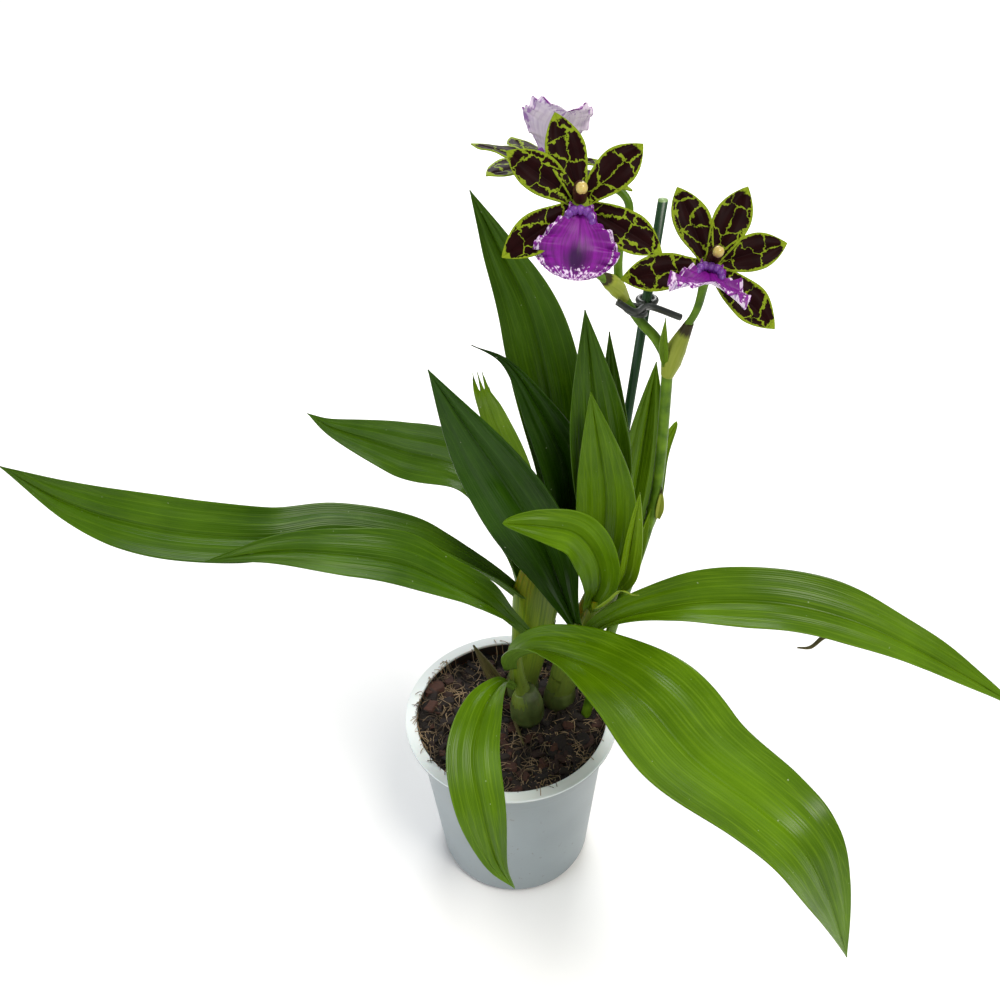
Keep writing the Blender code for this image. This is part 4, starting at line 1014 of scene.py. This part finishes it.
# Flower stem: smooth and satin, softly mottled from leaf green to yellow-green
stem_skin = mottled("smooth_flower_stem", 0.42, 7.14, 4.0, "3c5c08", "688a1a", 0.32, 0.72, 0.15, 0.3 * MM,
                    IOR=1.43, Specular_IOR_Level=0.25)
# Bract: fine lines along a yellow-green leaf, brown and dry toward its tip
bract_skin, tree = new_finish("boat_shaped_bract", 0.45, IOR=1.42, Specular_IOR_Level=0.25)
blade_uv = add_node(tree, "UVMap", uv_map="blade")
along = add_node(tree, "SeparateXYZ", [blade_uv], "Y")
lines = add_node(tree, "Mapping", {"Vector": blade_uv, "Scale": (24.0, 1.5, 1.0)})
fine = add_node(tree, "TexNoise", {"Vector": lines, "Scale": 1.0, "Detail": 3.0})
tone = add_node(tree, "Mix", {"Factor": fine, "A": "74881c", "B": "a2a646"})
drying = add_node(tree, "Math", [fine, 0.15, along], operation="MULTIPLY_ADD")
dry = add_node(tree, "MapRange", [drying, 0.84, 0.92, 0.0, 0.95])
dress(bract_skin, add_node(tree, "Mix", {"Factor": dry, "A": tone, "B": "2a1c10"}), fine, 0.3, 0.3 * MM)

bm = bmesh.new()
round_stem(bm, SCAPE, (2.9, 2.8, 2.8, 2.7, 2.6), rings=60, segments=24)
round_stem(bm, RACHIS, (2.5, 2.2, 2.0, 1.8, 1.7, 1.6), rings=70)
round_stem(bm, RIGHT_PEDICEL, (2.0, 1.7, 1.7, 1.9, 2.6), rings=40)
round_stem(bm, FRONT_PEDICEL, (2.0, 1.6, 1.6, 1.9, 2.6), rings=40)
round_stem(bm, [(73.6, 15, 240), (74.2, 15, 244), (74.6, 15, 248)], (2.7, 3.3, 2.7), rings=12)
pieces = [skin_from("stem_skins", bm, stem_skin)]
bm = bmesh.new()
for line, radii in (([(76, 15, 322), (78.5, 14, 335), (83.5, 12.5, 350)], (2.9, 4.5, 4.5, 3.3, 2.0)),
                    ([(56, 21.5, 358), (51, 18.5, 366), (45, 14, 373)], (2.4, 3.7, 3.6, 2.0))):
    oval_stem(bm, line, radii, radii, ribs=0.02)
pieces.append(skin_from("node_sheaths", bm, bract_skin))
BRACTS = {
    "bract_low": dict(
        midrib=[(76.6, 12.8, 240), (77.2, 12.2, 250), (77.2, 12, 260)], sides=[(1, 0, 0), (1, 0, 0)],
        width=4.5, finish=(bract_skin, bract_skin), widest=0.3, foot=0.6, fold=(30, 20), rows=30),
    "bract_foot": dict(
        midrib=[(63.5, 12, 200), (66, 9, 220), (69, 8, 236), (72, 8, 250)], sides=[(1, 0.3, 0), (1, 0.3, 0)],
        width=8, finish=young, widest=0.4, foot=0.5, fold=(40, 30), rows=40),
    "bract_narrow": dict(
        midrib=[(74, 12, 329), (72.5, 11, 341), (72.5, 10, 354)], sides=[(1, 0, 0), (1, 0, 0)], width=4.5,
        finish=young, widest=0.3, foot=0.6, fold=(30, 20), rows=30),
}
for name, spec in BRACTS.items():
    pieces.append(blade(name, point=1.15, pleat=0, columns=14, groove=0.1, **spec))
spike = join("spike_stems_and_bracts", pieces)
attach(spike, "root")
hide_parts("flower_spike")


# The support stake: a green plastic-coated cane, cut square, its pale core showing on top. The clip is a
# dark moulded bar with a jaw that snaps on the stake and a loose ring round the stem.
STAKE_RADIUS = 2.2 * MM
STAKE_FOOT = Vector((37.5, 24, 45)) * MM
STAKE_TOP = Vector((72.2, 35, 397)) * MM

# Coated cane: deep green plastic with the cane's long grain under it, pale where it is cut
coated, tree = new_finish("green_coated_cane", 0.38, IOR=1.5)
place = add_node(tree, "TexCoord", out="Object")
height = add_node(tree, "SeparateXYZ", [place], "Z")
grain_size = (across(5 / 3), across(5 / 3), across(250 / 3))
long_lines = add_node(tree, "Mapping", {"Vector": place, "Scale": grain_size})
grain = add_node(tree, "TexNoise", {"Vector": long_lines, "Scale": 1.0, "Detail": 3.0})
green = add_node(tree, "Mix", {"Factor": grain, "A": "0a2c10", "B": "164a1c"})
cut_top = add_node(tree, "MapRange", [height, 0.3962, 0.3966])
dress(coated, add_node(tree, "Mix", {"Factor": cut_top, "A": green, "B": "86a468"}), grain, 0.2, 0.2 * MM)
bm = bmesh.new()
bmesh.ops.create_cone(bm, cap_ends=True, segments=40, radius1=STAKE_RADIUS, radius2=STAKE_RADIUS,
                      depth=(STAKE_TOP - STAKE_FOOT).length)
end_edges = [e for e in bm.edges if abs(e.verts[0].co.z - e.verts[1].co.z) < 1e-6]
bmesh.ops.bevel(bm, geom=end_edges, offset=0.25 * MM, segments=2, affect="EDGES")
lean = (STAKE_TOP - STAKE_FOOT).to_track_quat("Z", "Y").to_matrix().to_4x4()
bmesh.ops.transform(bm, matrix=Matrix.Translation((STAKE_TOP + STAKE_FOOT) / 2) @ lean, verts=bm.verts)
stake = skin_from("stake_cane", bm, coated)
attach(stake, "root")
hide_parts("support_stake")

# Clip plastic: near-black and smooth, with a small soft highlight
clip_grey = mottled("moulded_clip_plastic", 0.35, 3.33, 3.0, "1b1f1a", "2c312b", IOR=1.5)
AT_STAKE = Vector((67.8, 33.6, 350.5))
AT_SPIKE = Vector((60.5, 20.3, 353))
ring = [AT_SPIKE + Vector((math.cos(a) * 4.6, math.sin(a) * 4.6, -math.cos(a) * 1.5))
        for a in np.linspace(0, 2 * math.pi, 25)]
jaw = [AT_STAKE + Vector((math.cos(a), math.sin(a), 0)) * 3.9 for a in np.linspace(-1.2, 4.3, 22)]
bm = bmesh.new()
round_stem(bm, [(52, 15, 360), (60, 15.6, 354.5), (68, 27.4, 350.5), (83, 31, 342.5)], (1.5, 1.6, 1.6),
           rings=50, segments=24)
round_stem(bm, ring, (1.1, 1.1), rings=60, segments=16)
round_stem(bm, jaw, (1.4, 1.4), rings=50, segments=16)
clip = skin_from("clip_body", bm, clip_grey)
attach(clip, "root")
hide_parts("stem_clip")
